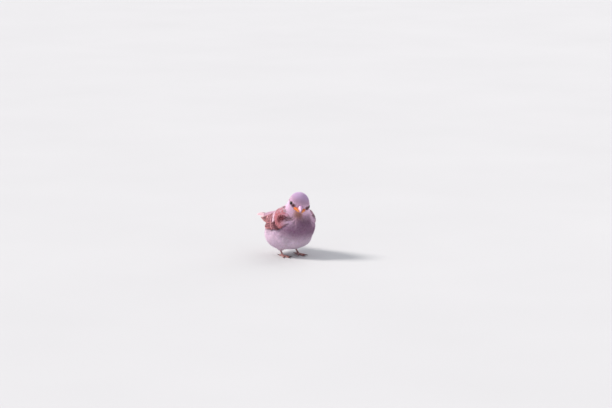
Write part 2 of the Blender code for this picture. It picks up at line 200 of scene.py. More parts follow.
def near(points, centre, radii):
    """1 at the centre, easing to 0 at an ellipsoid's surface."""
    reach = np.linalg.norm((points - np.asarray(centre, float)) / np.asarray(radii, float), axis=-1)
    return smooth(1.0, 0.35, reach)


def eased(at, stops, values):
    """Runs smoothly through the values at the stops."""
    widths = np.linspace(-0.09, 0.09, 13)
    return np.mean([np.interp(at + w, stops, values) for w in widths], axis=0)


def tree_of(points):
    """The points, sorted for quick searches."""
    tree = kdtree.KDTree(len(points))
    for i, point in enumerate(points):
        tree.insert(point, i)
    tree.balance()
    return tree


# ---- the body's surface ----
Mass = namedtuple("Mass", "centre radii turn")


def flesh_masses():
    """Every mass of the body; the thighs come last."""
    masses = [
        Mass(np.array(centre, float), np.array(radii, float), turn_about("X", -pitch))
        for centre, radii, pitch in MASSES.values()
    ]
    masses.append(Mass(HEAD_CENTRE, np.array(HEAD_RADII), HEAD_AXES))
    for side in SIDES:
        masses.append(Mass(from_head(mirrored(CHEEK_AT, side)), np.array(CHEEK_RADII), HEAD_AXES))
    for side in SIDES:
        turn = turn_about("X", THIGH_PITCH)
        masses.append(Mass(mirrored(THIGH_AT, side), np.array(THIGH_RADII), turn))
    return masses


FLESH = flesh_masses()
THIGHS_FROM = len(FLESH) - 2


def height_over(points, mass):
    """About how far each point is outside an ellipsoid, and the way out."""
    scaled = (points - mass.centre) @ mass.turn / mass.radii
    k0 = np.linalg.norm(scaled, axis=1)
    steep = scaled / mass.radii
    k1 = np.maximum(np.linalg.norm(steep, axis=1), 1e-9)
    return k0 * (k0 - 1) / k1, (steep / k1[:, None]) @ mass.turn.T


def body_field(points, masses=FLESH):
    """Each point's height over the plumage's outer surface, and the surface's normal there."""
    points = np.asarray(points, float).reshape(-1, 3)
    height, slope = height_over(points, masses[0])
    for i, mass in enumerate(masses[1:], 1):
        width = THIGH_BLEND if i >= THIGHS_FROM else BLEND
        other, other_slope = height_over(points, mass)
        close = np.maximum(width - np.abs(height - other), 0) / width
        own = np.where(height < other, 1 - close / 2, close / 2)[:, None]
        height = np.minimum(height, other) - close * close * width / 4
        slope = slope * own + other_slope * (1 - own)
    return height, unit(slope)


def onto_body(points, lift=0.0, rounds=4):
    """Moves points along the normals until they lie that far over the surface."""
    points = np.array(points, float)
    for _ in range(rounds):
        height, normal = body_field(points)
        points -= normal * (height - lift)[:, None]
    return points


def find_eyes():
    """Each eye's centre, and the way it looks out."""
    places = {}
    for side in SIDES:
        low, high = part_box(f"eye_{side}")
        centre = np.array((low + high) / 2) / MM - (0, SHIFT_Y, 0)
        places[side] = centre, body_field(centre)[1][0]
    return places


def coat_depth(points):
    """How deep the plumage is over the skin."""
    local = in_head(points)
    off_head = smooth(13, 26, np.linalg.norm(local, axis=-1))
    on_head = 1.5 - 0.95 * smooth(-2, -11, local[:, 1])
    on_body = 3.3 + 0.8 * near(points, (0, 2, 24), (40, 34, 22)) - 1.9 * smooth(34, 50, points[:, 1])
    depth = on_head * (1 - off_head) + on_body * off_head
    return np.where(points[:, 2] < LOW_THIGH, np.minimum(depth, 1.6), depth)


def lie(points, normals):
    """The way the feathers point: back from the bill over the head, then back and down the body."""
    local = in_head(points)
    from_bill = unit(points - from_head((0, -12.5, -3.5)))
    front = smooth(-6, -28, points[:, 1]) * (1 - 0.8 * smooth(9, 17, np.abs(points[:, 0])))
    over_body = mix(np.array((0, 1, -0.5)), np.array((0, 0.2, -1)), front)
    over_body[:, 2] += 0.5 * smooth(20, 36, points[:, 1])
    over_body[:, 0] += 0.012 * points[:, 0]
    over_body = mix(over_body, np.array((0, 0.35, -1.0)), smooth(16, 9, points[:, 2]))
    off_head = smooth(11, 23, np.linalg.norm(local, axis=-1))
    way = mix(from_bill, unit(over_body), off_head)
    for side in SIDES:
        way = past_eye(way, points, side)
    return level(way, normals)


def past_eye(way, points, side):
    """The feathers' way, turned beside an eye so that none grows over it."""
    centre, out = EYES[side]
    offset = points - centre
    radial = offset - out * dot(offset, out)
    beside = smooth(5.5, 2.8, np.linalg.norm(radial, axis=-1)) * (dot(offset, out)[:, 0] > 0)
    radial = unit(radial)
    inward = np.minimum(dot(way, radial), 0)
    return way - radial * (inward - 0.06) * beside[:, None]


# ---- making meshes ----
Cloud = namedtuple("Cloud", "points faces tint spot vane normals")


def cloud(points, faces, tint, spot=None, vane=None, normals=None):
    """Loose mesh data; faces is a list of index arrays, tint one colour per point."""
    points = np.asarray(points, float).reshape(-1, 3)
    count = len(points)
    tint = np.broadcast_to(np.asarray(tint, float), (count, 3))
    spot = np.zeros((count, 2)) if spot is None else np.asarray(spot).reshape(-1, 2)
    vane = np.zeros((count, 2)) if vane is None else np.asarray(vane).reshape(-1, 2)
    return Cloud(points, faces, tint, spot, vane, normals)


def joined(clouds):
    """Several clouds as one; the normals are kept where each cloud has its own."""
    fields = {"faces": [], "normals": None}
    offset = 0
    for part in clouds:
        fields["faces"] += [face + offset for face in part.faces]
        offset += len(part.points)
    names = ["points", "tint", "spot", "vane"]
    if all(part.normals is not None for part in clouds):
        names.append("normals")
    for name in names:
        fields[name] = np.concatenate([getattr(part, name) for part in clouds])
    return Cloud(**fields)


def linked(name, data):
    """A new object in the scene."""
    obj = bpy.data.objects.new(name, data)
    bpy.context.scene.collection.objects.link(obj)
    return obj


def add_piece(name, part, material, replaces=(), own_unwrap=False):
    """Makes a cloud a mesh object that rides on the bird."""
    corners = np.concatenate([face.ravel() for face in part.faces]).astype(np.int32)
    sizes = np.concatenate([np.full(len(face), face.shape[1]) for face in part.faces])
    starts = np.concatenate([[0], np.cumsum(sizes)[:-1]]).astype(np.int32)
    mesh = bpy.data.meshes.new(name)
    mesh.vertices.add(len(part.points))
    placed = (part.points + (0, SHIFT_Y, 0)) * MM
    mesh.vertices.foreach_set("co", placed.ravel().astype(np.float32))
    mesh.loops.add(len(corners))
    mesh.loops.foreach_set("vertex_index", corners)
    mesh.polygons.add(len(sizes))
    mesh.polygons.foreach_set("loop_start", starts)
    mesh.polygons.foreach_set("loop_total", sizes.astype(np.int32))
    mesh.update(calc_edges=True)
    tint = mesh.color_attributes.new("tint", "FLOAT_COLOR", "POINT")
    tint.data.foreach_set("color", np.column_stack([part.tint, np.ones(len(part.tint))]).ravel())
    if not own_unwrap:
        for layer, values in (("OFBake", part.spot), ("vane", part.vane)):
            unwrap = mesh.uv_layers.new(name=layer)
            unwrap.data.foreach_set("uv", values[corners].ravel().astype(np.float32))
        mesh.uv_layers["OFBake"].active_render = True
    mesh.shade_smooth()
    if part.normals is not None:
        mesh.normals_split_custom_set_from_vertices(part.normals.astype(np.float32))
    mesh.materials.append(material)
    obj = linked(name, mesh)
    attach(obj, "root")
    if replaces:
        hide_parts(*replaces)
    return obj


def edit_all(obj, operator, **settings):
    """Runs one edit-mode operator over the whole of a piece's mesh."""
    bpy.ops.object.select_all(action="DESELECT")
    obj.select_set(True)
    bpy.context.view_layer.objects.active = obj
    bpy.ops.object.mode_set(mode="EDIT")
    bpy.ops.mesh.select_all(action="SELECT")
    operator(**settings)
    bpy.ops.object.mode_set(mode="OBJECT")


def smart_unwrap(obj):
    """Unwraps a solid piece by its own shape."""
    obj.data.uv_layers.new(name="OFBake")
    edit_all(obj, bpy.ops.uv.smart_project, angle_limit=math.radians(66), island_margin=0.004)


def add_solid(name, part, material, replaces=()):
    """A closed or plain piece with its own unwrap and outward faces."""
    obj = add_piece(name, part, material, replaces, own_unwrap=True)
    edit_all(obj, bpy.ops.mesh.normals_make_consistent, inside=False)
    smart_unwrap(obj)


def grid_faces(rows, columns, count=1, wrap=False):
    """Quads of so many grids of points, one after another."""
    across = columns if wrap else columns - 1
    i, j = np.meshgrid(np.arange(rows - 1), np.arange(across), indexing="ij")
    i, j = i.ravel(), j.ravel()
    k = (j + 1) % columns
    one = np.stack([i * columns + j, i * columns + k, (i + 1) * columns + k, (i + 1) * columns + j], axis=1)
    return (one[None] + (np.arange(count) * rows * columns)[:, None, None]).reshape(-1, 4)


def resampled(values, count):
    """A list of points or numbers, read smoothly at count even steps."""
    values = np.asarray(values, float)
    flat = values.reshape(len(values), -1)
    at = np.linspace(0, len(values) - 1, count)
    i = np.clip(at.astype(int), 0, len(values) - 2)
    t = (at - i)[:, None]
    before, after = flat[np.maximum(i - 1, 0)], flat[np.minimum(i + 2, len(values) - 1)]
    a, b = flat[i], flat[i + 1]
    made = 0.5 * (2 * a + (b - before) * t + (2 * before - 5 * a + 4 * b - after) * t**2)
    made = made + 0.5 * (3 * a - before - 3 * b + after) * t**3
    return made.reshape((count,) + values.shape[1:])


def tube_frame(line):
    """The ways to the side and up at each station of a line that is nowhere upright."""
    ahead = unit(np.gradient(line, axis=0))
    side = unit(np.cross(ahead, (0.03, 0.02, 1.0)))
    return side, np.cross(side, ahead)


def round_tube(count, sides):
    """Shares along a tube as a column, and angles round it as a row."""
    return np.linspace(0, 1, count)[:, None], (np.arange(sides) * math.tau / sides)[None]


def tube_cloud(line, radii, tint, sides=20, scale=1.0):
    """A round closed tube; tint is a colour per station, and scale a factor per station and side."""
    count = len(line)
    side, up = tube_frame(line)
    angle = round_tube(count, sides)[1][..., None]
    out = np.cos(angle) * side[:, None] + np.sin(angle) * up[:, None]
    points = line[:, None] + out * (radii[:, None] * scale)[..., None]
    points = np.concatenate([points.reshape(-1, 3), line[:1], line[-1:]])
    first = np.arange(sides)
    after = (first + 1) % sides
    last = (count - 1) * sides
    caps = [
        np.stack([np.full(sides, count * sides), first, after], axis=1),
        np.stack([np.full(sides, count * sides + 1), last + after, last + first], axis=1),
    ]
    tint = np.broadcast_to(tint, (count, 3))
    tints = np.concatenate([np.repeat(tint, sides, axis=0), tint[:1], tint[-1:]])
    faces = [grid_faces(count, sides, wrap=True)[:, ::-1]] + caps
    return cloud(points, faces, tints)


# ---- materials ----
class Shader:
    """A material's nodes, made one line at a time."""

    def __init__(self, name):
        self.material = bpy.data.materials.new(name)
        self.material.use_nodes = True
        self.tree = self.material.node_tree
        self.surface = self.tree.nodes["Principled BSDF"]

    def node(self, kind, settings=None, **inputs):
        """A node; an underscore in an input's name stands for a space."""
        made = self.tree.nodes.new(kind)
        for key, value in (settings or {}).items():
            setattr(made, key, value)
        for key, value in inputs.items():
            self.feed(made.inputs[key.replace("_", " ")], value)
        return made

    def feed(self, socket, value):
        """Links another node's output, or sets a constant."""
        if isinstance(value, bpy.types.NodeSocket):
            self.tree.links.new(value, socket)
        else:
            socket.default_value = value

    def place(self):
        """Position on the bird, in millimetres."""
        return self.scaled(self.node("ShaderNodeTexCoord").outputs["Object"], 1 / MM)

    def scaled(self, vector, amount):
        """A place or a colour times one number."""
        made = self.node("ShaderNodeVectorMath", {"operation": "SCALE"}, Scale=amount)
        self.feed(made.inputs[0], vector)
        return made.outputs["Vector"]

    def noise(self, where, scale, detail=3.0, rough=0.6):
        """Soft noise of 0 to 1."""
        made = self.node("ShaderNodeTexNoise", Vector=where, Scale=scale, Detail=detail, Roughness=rough)
        return made.outputs["Fac"]

    def spread(self, value, low, high):
        """0 to 1 as low to high."""
        return self.node("ShaderNodeMapRange", Value=value, To_Min=low, To_Max=high).outputs["Result"]

    def maths(self, operation, a, b=0.0):
        """One sum of one or two numbers."""
        made = self.node("ShaderNodeMath", {"operation": operation})
        self.feed(made.inputs[0], a)
        self.feed(made.inputs[1], b)
        return made.outputs["Value"]

    def paint(self, shade, roughness):
        """The piece's own tint times a grey shade, and a roughness."""
        tint = self.node("ShaderNodeAttribute", {"attribute_name": "tint"}).outputs["Color"]
        self.feed(self.surface.inputs["Base Color"], self.scaled(tint, shade))
        self.feed(self.surface.inputs["Roughness"], roughness)

    def bump(self, height, strength, distance):
        """Fine relief, so many metres deep."""
        made = self.node("ShaderNodeBump", Height=height, Strength=strength, Distance=distance)
        self.feed(self.surface.inputs["Normal"], made.outputs["Normal"])

    def finish(self, **constants):
        """Sets the surface's constants and hands over the material."""
        for key, value in constants.items():
            self.feed(self.surface.inputs[key.replace("_", " ")], value)
        return self.material


def barb_places(shader):
    """A number that is the same all along a barb, which runs out from the shaft and towards the tip."""
    vane = shader.node("ShaderNodeUVMap", {"uv_map": "vane"}).outputs["UV"]
    parts = shader.node("ShaderNodeSeparateXYZ")
    shader.feed(parts.inputs[0], vane)
    out = shader.maths("ABSOLUTE", parts.outputs["X"])
    return shader.maths("SUBTRACT", parts.outputs["Y"], shader.maths("MULTIPLY", out, 1.15))


def plumage_material():
    """Loose body feathers: soft, matt, with the colour that each feather carries."""
    shader = Shader("plumage")
    where = shader.place()
    grain = shader.noise(where, 2.2, 4.0)
    broad = shader.noise(where, 0.16, 2.0)
    shade = shader.maths("MULTIPLY", shader.spread(grain, 0.86, 1.14), shader.spread(broad, 0.93, 1.07))
    shader.paint(shade, shader.spread(grain, 0.7, 0.92))
    return shader.finish(Sheen_Weight=0.22, Sheen_Roughness=0.45, Specular_IOR_Level=0.22)


def skin_material():
    """What shows between the feathers: short down in the plumage's own colours."""
    shader = Shader("skin_down")
    fluff = shader.noise(shader.place(), 3.4, 5.0, 0.7)
    shader.paint(shader.spread(fluff, 0.62, 1.0), 0.9)
    shader.bump(fluff, 0.7, 0.0006)
    return shader.finish(Sheen_Weight=0.2, Specular_IOR_Level=0.2)


def vane_material():
    """Firm wing and tail feathers, ribbed by their barbs."""
    shader = Shader("vanes")
    along = barb_places(shader)
    ribs = shader.maths("SINE", shader.maths("MULTIPLY", along, math.tau / 0.34))
    strands = shader.node("ShaderNodeTexNoise", {"noise_dimensions": "1D"}, W=along, Scale=2.6, Detail=4.0)
    strands = shader.spread(strands.outputs["Fac"], 0.6, 1.4)
    grain = shader.noise(shader.place(), 1.3, 3.0)
    shade = shader.maths("MULTIPLY", strands, shader.spread(grain, 0.88, 1.12))
    shader.paint(shade, shader.spread(grain, 0.5, 0.72))
    shader.bump(shader.spread(ribs, 0.0, 1.0), 0.45, 0.00012)
    return shader.finish(Sheen_Weight=0.12, Sheen_Roughness=0.4, Specular_IOR_Level=0.3)


def bare_material(name, scale, shade, rough, relief, **constants):
    """Horn, skin or scales: the piece's tint under one fine noise, which also roughens and dents it."""
    shader = Shader(name)
    fine = shader.noise(shader.place(), scale, 4.0)
    shader.paint(shader.spread(fine, *shade), shader.spread(fine, *rough))
    shader.bump(fine, *relief)
    return shader.finish(**constants)


def horn_material():
    """The bill: satin horn with fine growth lines."""
    glow = {"Subsurface_Weight": 0.12, "Subsurface_Scale": 0.0008}
    gloss = {"Coat_Weight": 0.25, "Coat_Roughness": 0.25}
    return bare_material("bill_horn", 1.8, (0.88, 1.1), (0.26, 0.42), (0.12, 0.0002), **glow, **gloss)


def waxy_material():
    """The gape's swollen skin."""
    glow = {"Subsurface_Weight": 0.3, "Subsurface_Scale": 0.0012}
    return bare_material("gape_skin", 2.6, (0.86, 1.1), (0.34, 0.5), (0.25, 0.0003), **glow)


def scale_material(name, roughness):
    """Legs, lids and claws."""
    glow = {"Subsurface_Weight": 0.08, "Subsurface_Scale": 0.0006}
    rough = (roughness - 0.08, roughness + 0.1)
    return bare_material(name, 3.0, (0.8, 1.12), rough, (0.25, 0.0002), **glow)


def eye_material():
    """A wet dark eye; the tint holds pupil and iris."""
    shader = Shader("eye")
    shader.paint(1.0, 0.06)
    return shader.finish(IOR=1.38)


# ---- markings ----
FOLD_SHADE_AT, FOLD_SHADE_RADII = (14.8, -27.0, 54.4), (5.5, 5.0, 4.2)  # painted shade of the fold between wing and breast
FACE_MARKS = (  # name, centre and radii in the head's own frame, and strength
    ("brow", (11, 0, 3.0), (5, 9.5, 1.9), 0.8),
    ("eye_line", (12, 1, -0.2), (5, 9, 1.7), 0.75),
    ("lore", (8.4, -11.0, -2.4), (4.8, 3.8, 3.0), 1.0),
)


def trunk_colour(points):
    """Neck, trunk and thighs: pale under and beside, brown on top, with painted shade on the breast and in
    the fold by the wing.
    """
    x, y, z = np.abs(points[:, 0]), points[:, 1], points[:, 2]
    up = body_field(points)[1][:, 2]
    # above about 44 mm the breast's colour, which holds painted shade, below it the belly's
    colour = mix(TINT["breast"], TINT["belly"], smooth(44, 26, z))
    colour = mix(colour, TINT["flank"], smooth(14, 26, x) * smooth(-30, -8, y))
    colour = mix(colour, TINT["vent"], smooth(20, 36, y) * smooth(0.2, -0.4, up))
    above = smooth(0.12, 0.5, up - 0.25 * smooth(-8, -26, y)) * smooth(40, 52, z + 0.15 * y)
    colour = mix(colour, TINT["mantle"], above)
    colour = mix(colour, TINT["rump"], above * smooth(16, 30, y))
    beside_throat = smooth(7, 12, x) * smooth(-6, -16, y) * smooth(44, 54, z)
    colour = mix(colour, TINT["cheek"], 0.7 * beside_throat)
    # painted shade: the streak colour darkens the fold between wing and breast
    return mix(colour, TINT["streak"], 0.85 * near(np.column_stack([x, y, z]), FOLD_SHADE_AT, FOLD_SHADE_RADII))


def head_colour(local):
    """Crown, nape, cheek, throat and the marks of the face, at places in the head's own frame."""
    x, y, z = np.abs(local[:, 0]), local[:, 1], local[:, 2]
    colour = mix(TINT["nape"], TINT["cheek"], smooth(8, 0, y) * smooth(3.5, -1, z))
    colour = mix(colour, TINT["throat"], smooth(-4, -10, z) * smooth(7, 2, x) * smooth(0, -6, y))
    # the crown over the head's top, lightened and blued partly as a painted sky reflection
    colour = mix(colour, TINT["crown"], smooth(1.0, 8.5, z + 0.12 * y))
    for name, centre, radii, strength in FACE_MARKS:
        mark = near(np.column_stack([x, y, z]), centre, radii)
        colour = mix(colour, TINT[name], strength * mark)
    return colour


def body_colour(points):
    """The plumage's colour at each place, the same for skin and feathers."""
    local = in_head(points)
    on_head = smooth(24, 15, np.linalg.norm(local, axis=1))
    return mix(trunk_colour(points), head_colour(local), on_head)


def streak_share(points):
    """How strongly the feathers there have a dark shaft streak: the mantle and scapulars."""
    normal = body_field(points)[1]
    return smooth(-14, -4, points[:, 1]) * smooth(26, 14, points[:, 1]) * smooth(0.1, 0.45, normal[:, 2])


# ---- skin ----
SKIN_CELL = 1.15
FLESH_NODES = ("head", "neck", "trunk", "thigh_left", "thigh_right")
Roots = namedtuple("Roots", "points spots normals")


def rough_skin():
    """One closed mesh round all the masses, before it is drawn onto their blended surface."""
    made = bmesh.new()
    for mass in FLESH:
        place = Matrix.Translation(Vector(mass.centre)) @ Matrix(mass.turn).to_4x4()
        place = place @ Matrix.Diagonal((*mass.radii, 1))
        bmesh.ops.create_uvsphere(made, u_segments=48, v_segments=32, radius=1, matrix=place)
    mesh = bpy.data.meshes.new("skin_masses")
    made.to_mesh(mesh)
    made.free()
    obj = linked("skin_masses", mesh)
    remesh = obj.modifiers.new("one_skin", "REMESH")
    remesh.mode = "VOXEL"
    remesh.voxel_size = SKIN_CELL
    skin = bpy.data.meshes.new_from_object(obj.evaluated_get(bpy.context.evaluated_depsgraph_get()))
    bpy.data.objects.remove(obj, do_unlink=True)
    return skin


def make_skin(material):
    """One skin over head, neck, trunk and thighs, under the coat."""
    mesh = rough_skin()
    points = np.empty(len(mesh.vertices) * 3, np.float32)
    mesh.vertices.foreach_get("co", points)
    points = onto_body(points.reshape(-1, 3), 0.0, 3)
    colour = body_colour(points)
    points = onto_body(points, -coat_depth(points), 3)
    faces = np.array([face.vertices[:] for face in mesh.polygons if len(face.vertices) == 4])
    part = cloud(points, [faces], mix(colour, TINT["down"], 0.45))
    skin = add_piece("skin", part, material, FLESH_NODES, own_unwrap=True)
    smart_unwrap(skin)
    return skin


def scatter(skin, spacing, tries=9.0):
    """Feather roots spread over the skin, spacing(points) apart, with their places on its unwrap."""
    mesh = skin.data
    mesh.calc_loop_triangles()
    count = len(mesh.loop_triangles)
    corners, loops = np.empty(count * 3, np.int32), np.empty(count * 3, np.int32)
    mesh.loop_triangles.foreach_get("vertices", corners)
    mesh.loop_triangles.foreach_get("loops", loops)
    places = np.empty(len(mesh.vertices) * 3, np.float32)
    mesh.vertices.foreach_get("co", places)
    places = places.reshape(-1, 3) / MM - (0, SHIFT_Y, 0)
    unwrap = np.empty(len(mesh.loops) * 2, np.float32)
    mesh.uv_layers["OFBake"].data.foreach_get("uv", unwrap)
    shape = places[corners].reshape(-1, 3, 3)
    spots = unwrap.reshape(-1, 2)[loops].reshape(-1, 3, 2)
    area = np.linalg.norm(np.cross(shape[:, 1] - shape[:, 0], shape[:, 2] - shape[:, 0]), axis=1) / 2
    gaps = spacing(shape.mean(axis=1))
    weight = area / gaps**2
    drawn = RNG.choice(count, int(weight.sum() * tries), p=weight / weight.sum())
    a, b = RNG.random(len(drawn)), RNG.random(len(drawn))
    a, b = np.where(a + b > 1, 1 - a, a), np.where(a + b > 1, 1 - b, b)
    share = np.stack([1 - a - b, a, b], axis=1)[..., None]
    points, spots = (shape[drawn] * share).sum(axis=1), (spots[drawn] * share).sum(axis=1)
    kept = well_apart(points, gaps[drawn])
    return Roots(points[kept], spots[kept], body_field(points[kept])[1])


def well_apart(points, gaps):
    """Which points to keep, so that each has its own gap free of later ones."""
    tree = tree_of(points)
    free, kept = np.ones(len(points), bool), []
    for i, point in enumerate(points):
        if free[i]:
            kept.append(i)
            for _, j, _ in tree.find_range(point, gaps[i]):
                free[j] = False
    return kept


# ---- loose feathers ----
Plan = namedtuple(
    "Plan", "roots spots length width low high yaw base main edge centre streak reach fluff roll"
)
Shafts = namedtuple("Shafts", "line ahead side up length")
Barbs = namedtuple("Barbs", "hand start end far puff thick mood")
LONG = 9  # a feather's bends grow with its length up to this
TUCK = 0.03  # how far a feather's tip bends down, against its length
SAG = 0.018  # how far a closed vane lies under its shaft's line, against its length
CUP = 0.12  # how strongly a feather bends down towards its sides
WIDEST = 0.58  # where along its length a feather is widest
CELL = 0.0015  # half the width of a feather's patch on the unwrap
VANE_ROUND = 0.16  # how far a soft feather's shading turns towards its sides
BARB = 0.013  # half a barb's width, against its feather's size


def lay_shafts(plan, stations, heading):
    """Each feather's middle line from the skin out to its tip, with its frame at every station."""
    points, line, normals = np.array(plan.roots), [], []
    share = np.linspace(0, 1, stations)
    turn = plan.yaw[:, None]
    for k in range(stations):
        height, normal = body_field(points)
        if k:
            lift = plan.low + (plan.high - plan.low) * (1 - (1 - share[k]) ** 1.7)
            lift = lift - TUCK * np.minimum(plan.length, LONG) * share[k] ** 6
            points = points - normal * (height - lift)[:, None]
        line.append(points)
        normals.append(normal)
        way = heading(points, normal)
        way = way * np.cos(turn) + np.cross(normal, way) * np.sin(turn)
        points = points + way * (plan.length / (stations - 1))[:, None]
    line, normals = np.stack(line, axis=1), np.stack(normals, axis=1)
    ahead = unit(np.gradient(line, axis=1))
    side = unit(np.cross(ahead, normals))
    return Shafts(line, ahead, side, unit(np.cross(side, ahead)), plan.length)


def on_feather(shafts, at, out, rise):
    """Points of the feathers at shares of their length, so far to the side and over them."""
    stations = shafts.line.shape[1]
    where = np.clip(at, 0, 1) * (stations - 1)
    low = np.minimum(where.astype(int), stations - 2)
    part = (where - low)[..., None]
    rows = np.arange(len(shafts.line)).reshape((-1,) + (1,) * (at.ndim - 1))
    read = [values[rows, low] * (1 - part) + values[rows, low + 1] * part for values in shafts[:4]]
    line, ahead, side, up = read
    beyond = np.maximum(at - 1, 0) * shafts.length.reshape(rows.shape)
    points = line + ahead * beyond[..., None] + side * out[..., None] + up * rise[..., None]
    return points, side, up


def outline(at):
    """A contour feather's half width at shares of its length: widest past the middle, round tipped."""
    before = 1 - 0.75 * np.clip((WIDEST - at) / WIDEST, 0, 1) ** 2
    after = np.sqrt(np.clip(1 - (np.clip(at - WIDEST, 0, 1) / 0.44) ** 2, 0, 1))
    return before * after


def spread_over(values, like):
    """One value or colour per feather, shaped to go with an array of numbers per feather."""
    return values.reshape((len(values),) + (1,) * (like.ndim - 1) + values.shape[1:])


def feather_tint(plan, at, out):
    """A feather's colour at a share of its length and of its half width."""
    base, main = spread_over(plan.base, at), spread_over(plan.main, at)
    edge, centre = spread_over(plan.edge, at), spread_over(plan.centre, at)
    ground = mix(base, main, smooth(0.15, 0.5, at))
    rim = np.maximum(smooth(0.4, 1.0, out), smooth(0.72, 1.0, at))
    tint = mix(ground, edge, 0.85 * rim * smooth(0.3, 0.6, at))
    reach = spread_over(plan.reach, at)
    dark = smooth(0.95, 0.45, out) * smooth(0.2, 0.45, at) * smooth(reach + 0.07, reach - 0.08, at)
    return mix(tint, centre, dark * spread_over(plan.streak, at))


def soft_vane(plan, shafts, rows, columns, closed, end, torn=1.0):
    """The closed middle of each feather, as a cupped grid: a share of its width, so far along it."""
    count = len(plan.roots)
    at = np.linspace(0, end, rows)[None, :, None] * np.ones((count, 1, columns))
    x = np.linspace(-1, 1, columns)[None, None] * np.ones((count, rows, 1))
    ragged = 1 + torn * RNG.uniform(-0.2, 0.12, at.shape) * np.abs(x) ** 2
    at = at + torn * RNG.uniform(-0.04, 0.04, at.shape) * np.abs(x)
    length = spread_over(plan.length, at)
    out = 0.5 * spread_over(plan.width, at) * outline(at * 0.96 / end) * closed * ragged * x
    drop = -SAG * np.minimum(length, LONG) - CUP * np.abs(out) * np.abs(x)
    drop = drop + spread_over(plan.roll, at) * x * closed
    points, side, up = on_feather(shafts, at, out, drop)
    normals = unit(up + side * (VANE_ROUND * x)[..., None]).reshape(-1, 3)
    tint = feather_tint(plan, at, np.abs(x) * closed).reshape(-1, 3)
    spot = plan.spots[:, None, None] + np.stack([x * 0.6, at * 2 - 1], axis=-1) * CELL
    vane = np.stack([out, at * length], axis=-1)
    return cloud(points, [grid_faces(rows, columns, count)], tint, spot, vane, normals)


def plan_barbs(plan, barbs, least, fine):
    """Each feather's loose barbs, left and right in turn: where they start and end, and their size."""
    step = (np.arange(barbs) // 2 + 0.5) / (barbs / 2)
    hand = np.where(np.arange(barbs) % 2 == 0, 1.0, -1.0) * np.ones((len(plan.roots), 1))
    end = 0.3 + 0.73 * step**0.62 + RNG.uniform(-0.03, 0.03, hand.shape)
    width, length, fluff = plan.width[:, None], plan.length[:, None], plan.fluff[:, None]
    far = hand * 0.5 * width * outline(end) * (1 + RNG.normal(0, 0.12, end.shape))
    start = end - np.maximum(np.abs(far) * 1.25 / length, least)
    wisp = (RNG.random(end.shape) < 0.07) * fluff
    end = end + RNG.uniform(-0.07, 0.06, end.shape) + 0.16 * wisp
    puff = length * (fluff * RNG.uniform(-0.01, 0.05, end.shape) + 0.05 * wisp)
    thick = BARB * fine * np.sqrt(width * length) * RNG.uniform(0.6, 1.1, end.shape)
    mood = (1 + RNG.uniform(-0.1, 0.1, end.shape))[..., None]
    return Barbs(hand, start, end, far, puff, thick, mood)


def barb_spots(plan, barbs, size):
    """Each barb's sliver of its feather's patch on the unwrap."""
    hand = barbs.hand
    spot = np.stack([hand * 0.4, np.clip(barbs.end, 0, 1) * 1.6 - 1], axis=-1) * CELL
    along = np.linspace(0, 0.4, size)[:, None] * np.stack([hand, 0.6 + 0 * hand], axis=-1)[:, :, None]
    return plan.spots[:, None, None] + spot[:, :, None] + along * CELL


def soft_fringe(plan, shafts, count, bend=True, least=0.3, inner=0.0, fine=1.0):
    """The loose barbs past each vane's edge, which end along the feather's round outline."""
    barbs = plan_barbs(plan, count, least, fine)
    width, roll = plan.width[:, None], plan.roll[:, None]
    shares = ((0.15, 1.0), (0.6, 0.8), (1.0, 0.0)) if bend else ((0.1, 1.0), (1.0, 0.0))
    points, tints, normals = [], [], []
    for share, wide in shares:
        share = inner + (1 - inner) * share
        at = barbs.start + (barbs.end - barbs.start) * share**1.15
        out = barbs.far * share**0.8
        rise = barbs.puff * share * share - CUP * np.abs(out) * np.abs(out) / width + roll * 2 * out / width
        tint = feather_tint(plan, np.clip(at, 0, 1), np.clip(2 * np.abs(out) / width, 0, 1))
        for span in (-1, 1) if wide else (0,):
            place, side, up = on_feather(shafts, at, out + span * barbs.thick * wide, rise)
            points.append(place)
            tints.append(tint * barbs.mood)
            normals.append(unit(up + side * (barbs.hand * VANE_ROUND)[..., None]))
    size = len(points)
    points, tints, normals = (np.stack(kind, axis=2).reshape(-1, 3) for kind in (points, tints, normals))
    first = (np.arange(barbs.hand.size) * size)[:, None]
    blade = ((0, 1, 3, 2), (2, 3, 4)) if bend else ((0, 1, 2),)
    faces = [first + np.array(corners) for corners in blade]
    return cloud(points, faces, tints, barb_spots(plan, barbs, size), None, normals)


def soft_feathers(plan, heading, stations, vane, fringe, **barbs):
    """Whole feathers: the closed middles, then the loose fringe."""
    shafts = lay_shafts(plan, stations, heading)
    return joined([soft_vane(plan, shafts, *vane), soft_fringe(plan, shafts, fringe, **barbs)])


def head_feathers(plan):
    """The head's small feathers, with short straight barbs."""
    return soft_feathers(plan, lie, 5, (4, 3, 0.44, 0.74), 40, bend=False, fine=1.6)


def body_feathers(plan):
    """Body feathers: narrow closed vanes with a deep fringe of loose barbs."""
    return soft_feathers(plan, lie, 7, (6, 4, 0.48, 0.8), 46)


def covert_feathers(plan):
    """The wing's small coverts: broad closed vanes with a short fringe."""
    return soft_feathers(plan, wing_lie, 8, (12, 9, 0.86, 0.95), 60)


def large_feathers(plan, heading):
    """Greater coverts and tertials: long closed vanes with a narrow fringe."""
    shafts = lay_shafts(plan, 14, heading)
    fringe = soft_fringe(plan, shafts, 260, least=0.1, inner=0.6, fine=0.3)
    return joined([soft_vane(plan, shafts, 36, 13, 0.97, 1.0, 0.2), fringe])


def moods(count, low, high):
    """A lighter or darker shade for each feather, with a little colour of its own."""
    return RNG.uniform(low, high, (count, 1)) * (1 + RNG.uniform(-0.03, 0.03, (count, 3)))


